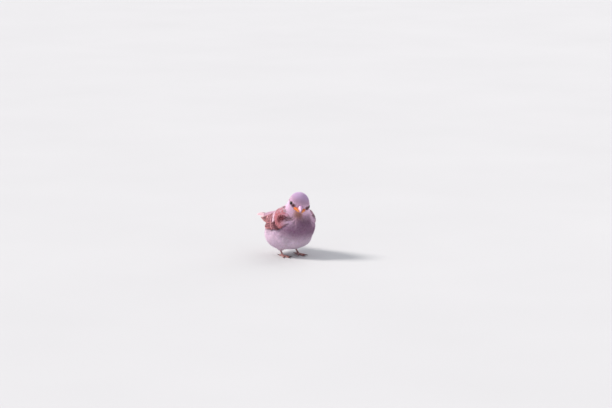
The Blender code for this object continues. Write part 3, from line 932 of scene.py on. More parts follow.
# ---- the coat ----
def spacing_at(points):
    """Distance between feather roots: smallest on the face, widest on the belly."""
    local = in_head(points)
    off_head = smooth(12, 30, np.linalg.norm(local, axis=1))
    small = 0.64 - 0.22 * smooth(0, -11, local[:, 1])
    wide = 1.42 - 0.25 * smooth(34, 50, points[:, 1])
    gap = small * (1 - off_head) + wide * off_head
    return np.where(points[:, 2] < LOW_THIGH, 0.95, gap)


def round_wing(along, across):
    """Shares of the feathers under the wing's lower edge, beside its upper edge and over its bend."""
    behind_front = smooth(34, 27, along)
    along_belly = behind_front * smooth(-26, -14, along)
    under_lower = smooth(1.3, 1.05, across) * smooth(0.6, 0.8, across) * along_belly
    beside_upper = behind_front * smooth(-34, -8, along) * smooth(-0.45, -0.1, across)
    beside_upper = beside_upper * smooth(0.1, 0.0, across)
    over_bend = smooth(36, 27, along) * smooth(18, 22, along) * smooth(-0.15, 0.1, across)
    return under_lower, beside_upper, over_bend * smooth(1.1, 0.8, across)


def coat_colours(points, off_head):
    """Each body feather's colours, its shaft streak's strength and how far the streak reaches."""
    count = len(points)
    mood = moods(count, 0.9, 1.1)
    main = body_colour(points) * mood
    base = mix(main, TINT["down"], 0.2 + 0.3 * off_head) * 0.92
    streak = streak_share(points)
    edge = mix(mix(main, TINT["belly"], 0.35), TINT["mantle"], 0.6 * streak)
    streak = streak * RNG.uniform(0.55, 1.0, count)
    return base, main, edge, TINT["streak"] * mood, streak, RNG.uniform(0.84, 0.94, count)


def plan_coat(roots):
    """Each body feather's size, lift and colours from where it grows, and whether it shows at all."""
    points, count = roots.points, len(roots.points)
    local = in_head(points)
    off_head = smooth(12, 34, np.linalg.norm(local, axis=1))
    length = (4.0 - 2.45 * smooth(0, -11, local[:, 1])) * (1 - off_head) + 8.4 * off_head
    length = np.where(points[:, 2] < LOW_THIGH, 3.0, length) * RNG.uniform(0.85, 1.15, count)
    width = length * (0.62 - 0.08 * (1 - off_head))
    along, across = wing_place(points)
    under_lower, beside_upper, over_bend = round_wing(along, across)
    high = RNG.uniform(-0.12, 0.1, count) * (0.4 + 0.6 * off_head) + 0.1 * off_head
    high = high - 0.5 * under_lower + 1.2 * beside_upper + 2.3 * over_bend
    yaw = RNG.normal(0, 0.11, count) + np.sign(points[:, 0]) * (0.25 * under_lower)
    colours = coat_colours(points, off_head)
    fluff = 0.35 + 0.65 * near(points, (0, 4, 26), (42, 34, 24))
    by_lid = eye_reach(points)
    low = -coat_depth(points) * (1 - 0.95 * by_lid)
    high = high + 0.3 * by_lid
    length = length * (1 - 0.3 * by_lid) * (1 + 0.25 * over_bend)
    plan = Plan(points, roots.spots, length, width, low, high, yaw, *colours, fluff, np.zeros(count))
    under_wing = (along < WING_FRONT) & (along > -34) & (across > 0.04) & (across < 0.85)
    return plan, ~under_wing & eye_clear(points) & bill_clear(local)


def chosen(plan, mask):
    """The plan of some of the feathers."""
    return Plan(*(value[mask] for value in plan))


def coat_regions(roots):
    """The name of the piece that each root's feather belongs to."""
    x, y, z = roots.points.T
    local = in_head(roots.points)
    on_head = np.linalg.norm(local, axis=1) < 18
    on_back = roots.normals[:, 2] > 0.25
    return np.select(
        [on_head & (local[:, 1] < -2), on_head, z > 52, on_back, (y > 6) & (np.abs(x) < 12), x > 9, x < -9],
        ["face", "crown", "neck", "back", "vent", "flank_left", "flank_right"],
        "breast",
    )


def make_coat(roots, material):
    """All the loose feathers, as one piece for each region."""
    plan, shown = plan_coat(roots)
    region = coat_regions(roots)
    for name in np.unique(region):
        on_head = name in ("face", "crown")
        feathers = head_feathers if on_head else body_feathers
        part = feathers(chosen(plan, shown & (region == name)))
        add_piece(f"coat_{name}", part, material)


# ---- wings ----
WING_STEP = 1.6  # the body's surface is read this far apart along the wing, and averaged
FREE_BLEND = 2.5  # how gently the free end leaves the body
INSIDE = (0.06, 0.94)  # across the wing, soft feathers read its depth between these
LESSER, MEDIAN, SCAPULAR = 0, 1, 2
BEND_BLOTCH = ((18, 0.475), (9, 0.35))  # centre and radii of a dark patch, as (along, across)
EDGE_BLOTCHES = (((3, 0.75), (4.5, 0.2)), ((7, 0.95), (9, 0.225)))
Vane = namedtuple("Vane", "root tip half layer point centre edge rim fade")
Large = namedtuple("Large", "root tip width down")


def wing_edges(along):
    """Bearings of a folded wing's upper and lower edge at each distance along its axis."""
    reach = (WING_FRONT - along) / (WING_FRONT - WING_END)
    upper = eased(reach, (0, 0.1, 0.35, 0.7, 1), (58, 48, 38, 35, 44))
    lower = eased(reach, (0, 0.08, 0.3, 0.55, 0.8, 1), (68, 84, 99, 98, 76, 53))
    return upper, lower


def bearing_at(along, across):
    """The bearing of a place on the folded wing, which is across it from upper (0) to lower edge (1)."""
    upper, lower = wing_edges(along)
    return upper + (lower - upper) * across


def wing_place(points):
    """Where points are against the folded wing: along its axis, and across it."""
    offset = points - WING_AXIS_AT
    along = offset @ WING_AHEAD
    bearing = np.degrees(np.arctan2(np.abs(points[:, 0]), offset @ WING_UP))
    upper, lower = wing_edges(along)
    return along, (bearing - upper) / (lower - upper)


def wing_lie(points, normals):
    """Along the folded wing, to its tip."""
    return level(np.zeros_like(points) - WING_AHEAD, normals)


def foot_of(along):
    """The wings' axis at each distance along it."""
    return WING_AXIS_AT + along[..., None] * WING_AHEAD


def around_body(along, bearing, lift, side):
    """Points at a distance along the wings' axis and a bearing from the back, over the surface."""
    angle = np.radians(bearing)[..., None]
    ray = np.cos(angle) * WING_UP + np.sin(angle) * np.array((SIDES[side], 0.0, 0.0))
    reaches = [reach_out(along + step, ray) for step in (-WING_STEP, 0.0, WING_STEP)]
    return foot_of(along) + ray * (np.mean(reaches, axis=0) + lift)[..., None]


def reach_out(along, ray):
    """How far from the wings' axis the body ends, or further where the wing's end is free."""
    foot = foot_of(along)
    low, high = np.zeros(along.shape), np.full(along.shape, 60.0)
    for _ in range(16):
        middle = (low + high) / 2
        height = body_field(foot + ray * middle[..., None], FLESH[:THIGHS_FROM])[0]
        outside = height.reshape(along.shape) > 0
        low, high = np.where(outside, low, middle), np.where(outside, middle, high)
    least = np.interp(along, (WING_END, *WING_FREE), (13.0, 15.4, 0))
    close = np.maximum(FREE_BLEND - np.abs(high - least), 0) / FREE_BLEND
    return np.maximum(high, least) + close * close * FREE_BLEND / 4


def wing_depth(along, across):
    """Thickness of the folded wing there, as its solid has it."""
    reach = (WING_FRONT - along) / (WING_FRONT - WING_END)
    rounded = np.sqrt(np.clip(1 - (2 * across - 1) ** 2, 0, 1)) * np.clip(reach / 0.12, 0.25, 1)
    return WING_THINNEST + (WING_THICKNESS - WING_THINNEST) * rounded * (1 - 0.45 * reach)


def wing_rows():
    """One folded wing's long feathers: root and tip as (along, across), half width, place in the stack."""
    rows = []
    dark, pale, covert = TINT["quill_dark"], TINT["quill_edge"], TINT["covert"]
    for k in range(9):  # primaries, the outermost lowest in the stack
        reach = -34 - 19 * (min(k, 7) / 7) ** 0.85 + (1.5 if k == 8 else 0)
        root, layer = (8 - k, 0.78 + 0.02 * k), (0.32 - 0.034 * k, 0.62 - 0.07 * k)
        rows.append(Vane(root, (reach, 0.3 + 0.07 * k), 2.1, layer, 0.75, dark, pale, 0.74, 0.93))
    for k in range(8):  # secondaries
        root, layer = (8 - 0.6 * k, 0.34 + 0.072 * k), (0.62 - 0.02 * k, 0.84 - 0.03 * k)
        edge = mix(covert, pale, 0.35)
        rows.append(Vane(root, (-30 - 0.65 * k, 0.3 + 0.084 * k), 2.4, layer, 0.35, dark, edge, 0.62, 0.92))
    for k in range(7):  # primary coverts
        root, tip = (13 - k * 0.6, 0.84 + 0.02 * k), (0.5 - 0.4 * k, 0.84 + 0.02 * k)
        layer = (0.42 - 0.03 * k, 0.55 - 0.03 * k)
        rows.append(Vane(root, tip, 1.5, layer, 0.5, dark, covert, 0.8, 0.95))
    for k in range(3):  # alula
        root, tip = (19 - k, 0.9 + 0.01 * k), (5 - 3.2 * k, 0.93 + 0.012 * k)
        layer = (0.66 - 0.05 * k, 0.8 - 0.05 * k)
        rows.append(Vane(root, tip, 1.5, layer, 0.4, TINT["covert_dark"], covert, 0.78, 0.95))
    return rows


def covert_places():
    """Tips of the wing's soft feathers as (along, across, kind)."""
    places = [(-8.0 + 1.4 * k, 0.02 + 0.096 * k, MEDIAN) for k in range(11)]
    for row in range(10):
        count = 10 + row % 2
        for k in range(count):
            t = (k + 0.5 * (row % 2) - 0.25) / (count - 0.5)
            places.append((-1.0 + 2.6 * row + 14.0 * t * (1 - row / 10), t, LESSER))
    for row in range(4):
        for k in range(10 - row):
            places.append((-17.0 + 3.5 * k + 1.6 * row, -0.22 + 0.1 * row + 0.006 * k, SCAPULAR))
    places = np.array(places)
    jitter = np.column_stack([RNG.uniform(-0.8, 0.8, len(places)), RNG.uniform(-0.02, 0.02, len(places))])
    places[:, :2] += jitter * np.where(places[:, 2:] == MEDIAN, 0.4, 1.0)
    return places[places[:, 0] < WING_FRONT - 2]


def nearest_spots(roots, points):
    """The skin's unwrap at the root nearest to each point."""
    tree = tree_of(roots.points)
    return roots.spots[[tree.find(point)[1] for point in points]]


def by_kind(kind, lesser, median, scapular):
    """One value or colour per feather, from one for each kind."""
    kind = kind[:, None] if np.ndim(median) else kind
    return np.where(kind == LESSER, lesser, np.where(kind == MEDIAN, median, scapular))


def blotch_share(along, across, kind):
    """How far each covert lies in one of the maroon patches: on the wing's bend, and by its lower edge."""
    place = np.column_stack([along, across])
    blotch = near(place, *BEND_BLOTCH) * (kind == LESSER)
    for centre, radii in EDGE_BLOTCHES:
        blotch = np.maximum(blotch, near(place, centre, radii) * (kind != SCAPULAR))
    return blotch


def covert_colours(along, across, kind):
    """The soft coverts' colours, their shaft streaks' strength and how far the streaks reach."""
    mood = moods(len(along), 0.88, 1.1)
    front = smooth(14, 24, along)
    pale = mix(TINT["covert"], TINT["bar"], 0.75)
    shoulder = mix(TINT["mantle"], TINT["bar"], 0.6)
    main = by_kind(kind, mix(TINT["covert"], TINT["mantle"], front), pale, shoulder) * mood
    # the front coverts' rims take the breast's colour, with its painted shade
    rim = mix(TINT["covert_edge"], TINT["breast"], front)
    edge = by_kind(kind, rim, TINT["bar"], TINT["covert_edge"]) * mood
    centre = by_kind(kind, TINT["covert_dark"], TINT["covert_dark"], TINT["streak"]) * mood
    blotch = blotch_share(along, across, kind)
    main = mix(main, TINT["covert_dark"] * 1.2, 0.95 * blotch)
    edge = mix(edge, TINT["covert"] * 0.6, 0.9 * blotch)
    streak = by_kind(kind, 0.15 + 0.85 * blotch, 1.0, 0.7) * RNG.uniform(0.7, 1, len(kind))
    streak = streak * (1 - 0.7 * front)
    streak = np.where(kind == MEDIAN, streak * smooth(0.9, 0.75, across), streak)
    return main * 0.6, main, edge, centre, streak, by_kind(kind, 0.88, 0.6, 0.86)


def soft_coverts(side, roots):
    """Scapulars, lesser and median coverts: soft feathers over the front and top of the folded wing."""
    along, across, kind = covert_places().T
    count = len(along)
    length = by_kind(kind, 7.0, 12.5, 10.0) * RNG.uniform(0.92, 1.08, count)
    width = by_kind(kind, 4.6, 5.6, 5.4)
    start = np.minimum(along + length, WING_FRONT + 1)
    low = np.where(start > 19, -1.2, by_kind(kind, 0.8, 0.8, -1.2))
    points = around_body(start, bearing_at(along, across), low, side)
    colours = covert_colours(along, across, kind)
    depth = wing_depth(along, np.clip(across, *INSIDE)) * smooth(-0.3, 0.05, across)
    high = WING_BASE + depth + by_kind(kind, 0.15, -0.1, 0.3) + RNG.uniform(-0.1, 0.1, count)
    yaw = RNG.normal(0, 0.07, count)
    fluff, roll = np.full(count, 0.25), np.full(count, 0.1 * SIDES[side])
    spots = nearest_spots(roots, points)
    return covert_feathers(Plan(points, spots, length, width, low, high, yaw, *colours, fluff, roll))


def large_rows():
    """Greater coverts and tertials of one wing: root and tip as (along, across), width and depth."""
    rows = []
    for k in range(11):  # greater coverts
        tip = (-13.0 + 1.4 * k, 0.04 + 0.087 * k)
        rows.append(Large((tip[0] + 14, tip[1]), tip, 5.4, 0.32))
    for k in range(3):  # tertials
        root, tip = (0.0 - k, 0.08 + 0.09 * k), (-20 - 5.0 * k, 0.14 + 0.13 * k)
        rows.append(Large(root, tip, 7.6, 0.05 + 0.14 * k))
    return rows


def large_coverts(side, roots):
    """The wing's longest soft-edged feathers: dark, with a broad pale edge."""
    root, tip, width, down = (np.array(values) for values in zip(*large_rows()))
    ends = []
    for (along, across), sink in ((root.T, 0.7), (tip.T, 0.0)):
        lift = WING_BASE + wing_depth(along, np.clip(across, *INSIDE)) - down - sink
        ends.append((around_body(along, bearing_at(along, across), lift, side), lift))
    (points, low), (tips, high) = ends
    way, count = tips - points, len(points)
    mood = moods(count, 0.88, 1.12)
    main, edge, centre = TINT["covert"] * mood, TINT["covert_edge"] * mood, TINT["covert_dark"] * mood
    yaw = RNG.normal(0, 0.03, count)
    streak, reach = RNG.uniform(0.9, 1, count), RNG.uniform(0.88, 0.92, count)
    colours = (main * 0.5, main, edge, centre, streak, reach)
    length, spots = np.linalg.norm(way, axis=1), nearest_spots(roots, points)
    fluff, roll = np.full(count, 0.12), np.full(count, 0.16 * SIDES[side])
    plan = Plan(points, spots, length, width, low, high, yaw, *colours, fluff, roll)
    return large_feathers(plan, lambda places, normals: level(way, normals))


def each_along(first, last, share):
    """Values from first to last, along each of several feathers."""
    return first[:, None] + (last - first)[:, None] * share


def firm_feathers(rows, side):
    """Stiff vanes laid on the folded wing, with a raised shaft and frayed rims."""
    share, x = np.linspace(0, 1, 48), np.linspace(-1, 1, 13)
    vanes = Vane(*(np.array(values, float) for values in zip(*rows)))
    along, across = (each_along(first, last, share) for first, last in zip(vanes.root.T, vanes.tip.T))
    point = vanes.point[:, None]
    blunt = 0.16 + 0.22 * point
    over = np.clip((share - (1 - blunt)) / blunt, 0, 1)
    taper = np.sqrt(1 - over**2) ** (1 + 0.5 * point) * smooth(-0.25, 0.3, share)
    half = vanes.half[:, None] * np.maximum(taper, 0.03)
    bearing = bearing_at(along, across)
    reach = np.linalg.norm(around_body(along, bearing, 0.0, side) - foot_of(along), axis=-1)
    fray = RNG.uniform(-1, 1, (len(rows), len(share), len(x))) * np.abs(x) ** 6
    spread = half[..., None] * x * (1 + 0.025 * fray)
    depth = wing_depth(along, np.clip(across, 0, 1)) * each_along(*vanes.layer.T, share)
    camber = 0.02 * (1 - x**2) * np.minimum(half, 2.0)[..., None]
    ridge = 0.035 * np.exp(-((x / 0.1) ** 2)) * (1 - share)[:, None]
    lift = WING_BASE + depth[..., None] + camber + ridge - 0.25 + 0.05 * x
    bearing = bearing[..., None] + np.degrees(spread / reach[..., None])
    points = around_body(along[..., None] + fray * 0.07, bearing, lift, side)
    tint = firm_tint(vanes, share, x).reshape(-1, 3)
    middle = points[:, :, len(x) // 2]
    run = np.linalg.norm(middle[:, -1] - middle[:, 0], axis=-1)
    vane = np.stack(np.broadcast_arrays(spread, (share * run[:, None])[..., None]), axis=-1)
    faces = [grid_faces(len(share), len(x), len(rows))]
    return cloud(points, faces, tint, own_cells(len(rows), share, x), vane)


def firm_tint(vanes, share, x):
    """A dark middle, a paler rim and tip with uneven bounds, and a darker shaft."""
    count = len(vanes.half)
    wander = resampled(RNG.normal(0, 0.05, (7, count)), len(share)).T
    start = vanes.rim[:, None, None] + wander[..., None]
    rim = smooth(start, start + 0.26, np.abs(x))
    start = vanes.fade[:, None, None] + RNG.normal(0, 0.012, (count, 1, len(x)))
    tip = smooth(start, start + 0.06, share[:, None])
    tint = mix(vanes.centre[:, None, None], vanes.edge[:, None, None], np.maximum(rim, tip))
    shaft = (1 - 0.35 * np.exp(-((x / 0.07) ** 2)))[:, None]
    return tint * shaft * RNG.uniform(0.9, 1.1, (count, 1, 1, 1))


def own_cells(count, share, x):
    """A cell of the unwrap for each long feather, side by side."""
    columns = 16
    lines = -(-count // columns)
    index = np.arange(count)
    u = (index % columns)[:, None, None] + 0.5 + 0.42 * x[None, None] + 0 * share[None, :, None]
    v = (index // columns)[:, None, None] + 0.05 + 0.9 * share[None, :, None] + 0 * x[None, None]
    return np.stack([u / columns, v / lines], axis=-1)


def wing_arm(side):
    """A thin dark slab under the wing's feathers, with an upper and a lower face."""
    length, breadth = np.linspace(WING_FRONT - 2, -24, 40), np.linspace(0.1, 0.9, 20)
    along, across = np.meshgrid(length, breadth, indexing="ij")
    faces = grid_faces(*along.shape)
    spot = np.stack([across, (WING_FRONT - along) / 60], axis=-1)
    leaves = []
    for lift, order in ((0.45, 1), (0.65, -1)):
        points = around_body(along, bearing_at(along, across), lift, side)
        leaves.append(cloud(points, [faces[:, ::order]], TINT["quill_dark"] * 0.6, spot))
    return joined(leaves)


def make_wings(material, plumage, roots):
    """Both folded wings, feather by feather, over a thin dark arm."""
    for side in SIDES:
        part, nodes = firm_feathers(wing_rows(), side), (f"wing_{side}", f"wing_{side}_tip")
        add_piece(f"wing_feathers_{side}", part, material, nodes)
        add_piece(f"wing_arm_{side}", wing_arm(side), plumage)
        add_piece(f"wing_large_coverts_{side}", large_coverts(side, roots), material)
        add_piece(f"wing_coverts_{side}", soft_coverts(side, roots), plumage)


# ---- tail ----
def tail_feather(place, share, x):
    """One tail feather; place runs from -1, outermost on the right, to 1, and share is a column."""
    half_tail = np.interp(share, (0, 1), TAIL_HALF_WIDTHS)
    middle = place * (half_tail - 2.4 * smooth(0, 0.3, share)) * 0.98
    over = np.clip((share - 0.88) / 0.12, 0, 1)
    half = 2.5 * np.sqrt(1 - over**2 * 0.995) * smooth(-0.3, 0.35, share)
    fray = RNG.uniform(-1, 1, (len(share), len(x))) * np.abs(x) ** 6
    lateral = middle + half * x * (1 + 0.05 * fray)
    length = TAIL_LENGTH * (1 - 0.07 * (1 - abs(place)) - 0.06 * place**4)
    reach = -6 + (length + 6) * share + 0.2 * fray
    roof = -2.2 * (lateral / half_tail) ** 2 * (1 - 0.4 * share)
    layer = 0.1 - 1.15 * abs(place) + 0.22 * (1 - x**2) - 0.12 * x * np.sign(place)
    slope = math.radians(TAIL_SLOPE)
    y = TAIL_ROOT[1] + reach * math.cos(slope)
    z = TAIL_ROOT[2] - reach * math.sin(slope) + roof * 0.75 + layer
    rim, tip = smooth(0.55, 0.85, np.abs(x)), smooth(0.9, 0.98, share)
    tint = mix(TINT["tail_dark"], TINT["tail_edge"], np.maximum(rim, tip))
    tint = tint * (1 - 0.3 * np.exp(-((x / 0.08) ** 2)))[:, None] * RNG.uniform(0.92, 1.08)
    vane = np.stack(np.broadcast_arrays(half * x, share * length), axis=-1)
    faces = [grid_faces(len(share), len(x))]
    return cloud(np.stack([lateral, y, z], axis=-1), faces, tint.reshape(-1, 3), None, vane)


def make_tail(material):
    """Twelve tail feathers in a shallow roof, the middle pair on top."""
    share, x = np.linspace(0, 1, 30), np.linspace(-1, 1, 9)
    places = np.linspace(-1, 1, 12)
    places = places[np.argsort(-np.abs(places), kind="stable")]
    part = joined([tail_feather(place, share[:, None], x) for place in places])
    part = part._replace(spot=own_cells(len(places), share, x).reshape(-1, 2))
    add_piece("tail_feathers", part, material, ("tail",))


# ---- head details ----
PUPIL, IRIS, EYE_RIM = np.array(((0.003, 0.002, 0.003), (0.02, 0.009, 0.008), (0.01, 0.006, 0.007)))
LID = (  # radius and rise of each ring of the lids, from beside the eyeball outwards
    (2.1, 2.35), (2.17, 2.53), (2.24, 2.57), (2.31, 2.5), (2.37, 2.3), (2.42, 2.0), (2.5, 1.6), (3.0, 1.1),
)


def eye_gap(points):
    """How far each point is from the nearer eye's axis, on that eye's side of the head."""
    gap = np.full(len(points), 99.0)
    for centre, out in EYES.values():
        offset = points - centre
        rise = offset @ out
        radial = np.linalg.norm(offset - rise[:, None] * out, axis=1)
        gap = np.where(rise > 0, np.minimum(gap, radial), gap)
    return gap


def eye_clear(points):
    """True away from the two eyes."""
    return eye_gap(points) > 2.4


def eye_reach(points):
    """1 at the lids, easing to 0 away from the eyes."""
    return smooth(3.6, 2.6, eye_gap(points))


def bill_end(upper):
    """Where one half of the bill ends."""
    return BILL_TIP_Y + (0 if upper else LOWER_BILL_SHORTER)


def bill_size(y, upper):
    """Half width and height of one half of the bill, and its edge's height, at places along it."""
    t = np.clip((y - BILL_ROOT_Y) / (bill_end(upper) - BILL_ROOT_Y), 0, 1)
    mouth = GAPE_Z - 1.6 * t * t
    left = 1 - t
    if upper:
        return np.minimum(0.4 + 4.9 * left**0.95, 4.3), 0.4 + 6.9 * left**0.7, mouth
    return np.minimum(0.35 + 4.5 * left**0.95, 3.9), 0.35 + 3.3 * left**0.6, mouth


def bill_clear(local):
    """True where no bill or gape stands over the skin."""
    x, y, z = local[:, 0], local[:, 1], local[:, 2]
    clear = np.ones(len(local), bool)
    for upper in (True, False):
        half, tall, mouth = bill_size(y, upper)
        rise = (z - mouth) * (1 if upper else -1)
        clear &= ~((y < -8) & (rise > -0.2) & ((x / half) ** 2 + (rise / tall) ** 2 < 0.9))
    for side in SIDES:
        line = resampled([mirrored(point, side) for point in GAPE_LINE], 30)
        thick = resampled(GAPE_THICKNESS, 30)
        gap = np.linalg.norm(local[:, None] - line[None], axis=2) / thick
        clear &= gap.min(axis=1) > 0.85
    return clear


def bill_tint(upper, share, low, hole):
    """Pinkish horn with a dark tip, yellow towards the mouth, with painted shade in the nostrils."""
    tint = mix(TINT["bill"], TINT["bill_tip"], smooth(0.55, 1.0, share) * (0.75 if upper else 0.45))
    pale = smooth(0.35, 1.0, low) * smooth(0.95, 0.4, share)
    tint = mix(tint, TINT["gape_pale"], pale * (0.6 if upper else 0.95))
    if not upper:
        tint = mix(tint, TINT["gape"], 0.5 * smooth(0.9, 0.3, share))
    # painted shade in the nostril openings
    return mix(tint, TINT["covert_dark"] * 0.4, np.clip(hole * 1.3, 0, 0.95))


def bill_half(upper, stations=84, around=60):
    """The upper or the lower half of the bill: a keeled cone, cut flat at the mouth; nostrils above."""
    t = np.linspace(0, 1, stations) ** 0.85
    y = BILL_ROOT_Y + (bill_end(upper) - BILL_ROOT_Y) * t
    half, tall, mouth = bill_size(y, upper)
    sign = 1 if upper else -1
    end = 1 - 0.6 * smooth(0.94, 1.0, t)
    angle = np.linspace(0, math.pi, around)
    keel = 1 + 0.035 * np.exp(-(((angle - math.pi / 2) / 0.2) ** 2))
    px = (half * end)[:, None] * np.sign(np.cos(angle)) * np.abs(np.cos(angle)) ** 1.12
    pz = (tall * end)[:, None] * np.sin(angle) ** 0.95 * keel
    py = y[:, None] + 0 * px
    hole = 0 * px
    if upper:
        deep = ((py - NOSTRIL_Y) / 0.6) ** 2 + ((pz - NOSTRIL_RISE) / 0.34) ** 2
        hole = np.exp(-deep) * (np.abs(px) > 0.8)
        px = px * (1 - 0.2 * hole)
    edge = (mouth + sign * 0.1)[:, None]
    points = from_head(np.stack([px, py, edge + sign * pz], axis=-1).reshape(-1, 3))
    low = 1 - np.tile(np.sin(angle), stations)
    tint = bill_tint(upper, np.repeat(t, around), low, hole.ravel())
    i = np.arange(stations - 1) * around
    under = np.stack([i, i + around, i + 2 * around - 1, i + around - 1], axis=1)
    rim = np.arange(around) + (stations - 1) * around
    cap = np.stack([rim, np.roll(rim, -1), np.full(around, len(points))], axis=1)
    points = np.concatenate([points, points[-around:].mean(axis=0, keepdims=True)])
    quads = np.concatenate([grid_faces(stations, around), under])
    return cloud(points, [quads, cap], np.concatenate([tint, tint[-1:]]))


def lips(line, out, sides):
    """A tube's radii as two swollen lips, with the mouth's line between them on the outer side."""
    share, angle = round_tube(len(line), sides)
    across, up = tube_frame(line)
    facing = np.arctan2(up @ out, across @ out)[:, None]
    off = np.abs((angle - facing + math.pi) % math.tau - math.pi)
    groove = 0.3 * np.exp(-((off / 0.2) ** 2)) * smooth(0.08, 0.3, share)
    return 1 - groove + 0.006 * np.sin(share * 60 + 3 * np.cos(angle))


def gape_cloud(side, stations=44, sides=28):
    """One swollen gape corner, which runs forward along the bill's edge and thins out there."""
    line = resampled([from_head(mirrored(point, side)) for point in GAPE_LINE], stations)
    share = np.linspace(0, 1, stations)
    ends = np.maximum(1 - share / 0.14, 1 - (1 - share) / 0.05)
    thick = resampled(GAPE_THICKNESS, stations) * np.sqrt(1 - np.clip(ends, 0, 0.97) ** 2)
    out = unit(from_head(mirrored((9, -14, -6), side)) - from_head((0, -12, -6)))
    tint = mix(TINT["gape"], TINT["gape_pale"], 0.5 * smooth(0.3, 0.9, share))
    return tube_cloud(line, thick, tint, sides, lips(line, out, sides))


def make_head_parts(horn, waxy, wet, scaly):
    """Bill, gape corners, eyes and lids."""
    add_solid("bill_upper_horn", bill_half(True), horn, ("bill_upper",))
    add_solid("bill_lower_horn", bill_half(False), horn, ("bill_lower",))
    for side, (centre, out) in EYES.items():
        add_solid(f"gape_lips_{side}", gape_cloud(side), waxy, (f"gape_{side}",))
        add_solid(f"eyeball_{side}", eyeball_cloud(centre, out), wet, (f"eye_{side}",))
        add_solid(f"eyelid_{side}", lid_cloud(centre, out), scaly)


def eye_axes(out):
    """The level and the upward way across an eye that looks out that way."""
    side = unit(np.cross(out, (0, 0, 1.0)))
    return side, np.cross(side, out)


def eyeball_cloud(centre, out):
    """A ball with pupil, iris and a slight bulge of the cornea, facing out, and narrower behind the lids."""
    rings, sides = 36, 40
    side, up = eye_axes(out)
    polar = np.linspace(0.001, math.pi, rings)
    angle = (np.arange(sides) * math.tau / sides)[:, None]
    radius = EYE_RADIUS * (1 + 0.02 * np.exp(-((polar / 0.5) ** 2))) - smooth(0.68, 0.88, polar)
    ring = np.cos(angle) * side + np.sin(angle) * up
    ahead, aside = (radius * np.cos(polar))[:, None, None], (radius * np.sin(polar))[:, None, None]
    tint = mix(PUPIL, IRIS, smooth(0.46, 0.52, polar))
    tint = mix(tint, EYE_RIM, smooth(0.62, 0.7, polar))
    faces = [grid_faces(rings, sides, wrap=True)]
    return cloud(centre + out * ahead + ring * aside, faces, np.repeat(tint, sides, axis=0))


def lid_cloud(centre, out, count=66):
    """The beaded bare rim of the lids, and the skin that falls away from it under the feathers, darkened
    partly as painted shade.
    """
    side, up = eye_axes(out)
    angle = np.linspace(0, math.tau, count + 1)[:-1]
    radius, rise = np.array(LID).T[..., None]
    squash = 0.94 + 0.06 * smooth(2.35, 2.6, radius)
    ring = side * np.cos(angle)[:, None] + up * (squash * np.sin(angle))[..., None]
    bead = 1 + 0.008 * np.sin(angle * 33)
    points = centre + ring * (radius * bead)[..., None] + out * rise[..., None]
    shaded_skirt = np.repeat(smooth(2.3, 2.42, radius), count)
    # the skirt round the rim: dark bare skin, and partly painted shade of the feather bases over it
    tint = mix(TINT["lid"], 0.55 * body_colour(points.reshape(-1, 3)), shaded_skirt)
    return cloud(points, [grid_faces(len(LID), count, wrap=True)[:, ::-1]], tint)


# ---- legs ----
Toe = namedtuple("Toe", "bearing length radius claw")
TOES = {
    "middle": Toe(-2, 13.5, 1.0, 4.8),
    "inner": Toe(-31, 9.5, 0.95, 4.2),
    "outer": Toe(27, 10.5, 0.95, 4.0),
    "hind": Toe(180, 7.5, 1.05, 5.6),
}
TOE_ROOT_Z = 1.15
ANKLE = (11.6, 9.5, 13.0)
PAD = ((0, 2.0, -0.3), (0, 1.0, 0), (0, 0, 0), (0, -1.2, -0.05), (0, -2.3, -0.35))  # from the toes' root


def scutes(count, sides, plates):
    """A tube's radii under so many overlapping plates, which stand out on its upper side."""
    share, angle = round_tube(count, sides)
    saw = (share * plates) % 1.0
    return 1 + 0.07 * saw**2 * (0.35 + 0.65 * np.maximum(np.sin(angle), 0))


def scaled_tube(line, radii, wave, sides, plates):
    """A tube of scales, darker and lighter in turn, that doesn't reach under the floor."""
    count = len(line)
    tint = mix(TINT["leg"], TINT["leg_dark"], 0.5 + 0.5 * np.sin(np.linspace(0, wave, count)))
    return tube_cloud(line, radii, tint, sides, scutes(count, sides, plates))


def on_floor(part):
    """Flattens what would reach under the floor."""
    np.maximum(part.points[:, 2], 0.0, out=part.points[:, 2])
    return part


def shank_cloud(side, root):
    """The bare shank, from the ankle down to the toes' root."""
    ankle, foot = mirrored(ANKLE, side), root + (0, 0, 0.5)
    line = resampled([ankle * (1 - t) + foot * t for t in (0, 0.3, 0.6, 0.85, 1)], 90)
    return scaled_tube(line, resampled((1.45, 1.15, 1.02, 1.15, 1.35), 90), 60, 24, 15)


def pad_cloud(root):
    """The pad under the toes' root."""
    line = resampled([root + place for place in PAD], 30)
    return on_floor(tube_cloud(line, resampled((0.7, 1.45, 1.75, 1.5, 0.7), 30), TINT["leg"], 24))


def toe_cloud(toe, root, ahead):
    """One toe, with a bulge at each joint and its end bent down."""
    shares, rises = (0, 0.25, 0.5, 0.75, 1), (-0.1, 0.0, -0.2, -0.25, -0.6)
    line = [root + ahead * toe.length * share + (0, 0, rise) for share, rise in zip(shares, rises)]
    thick = toe.radius * resampled((1.0, 1.05, 0.92, 0.98, 0.7), 70)
    bulges = 1 + 0.07 * np.sin(np.linspace(0, math.pi * 6, 70)) ** 2
    return on_floor(scaled_tube(resampled(line, 70), thick * bulges, 40, 20, 12))


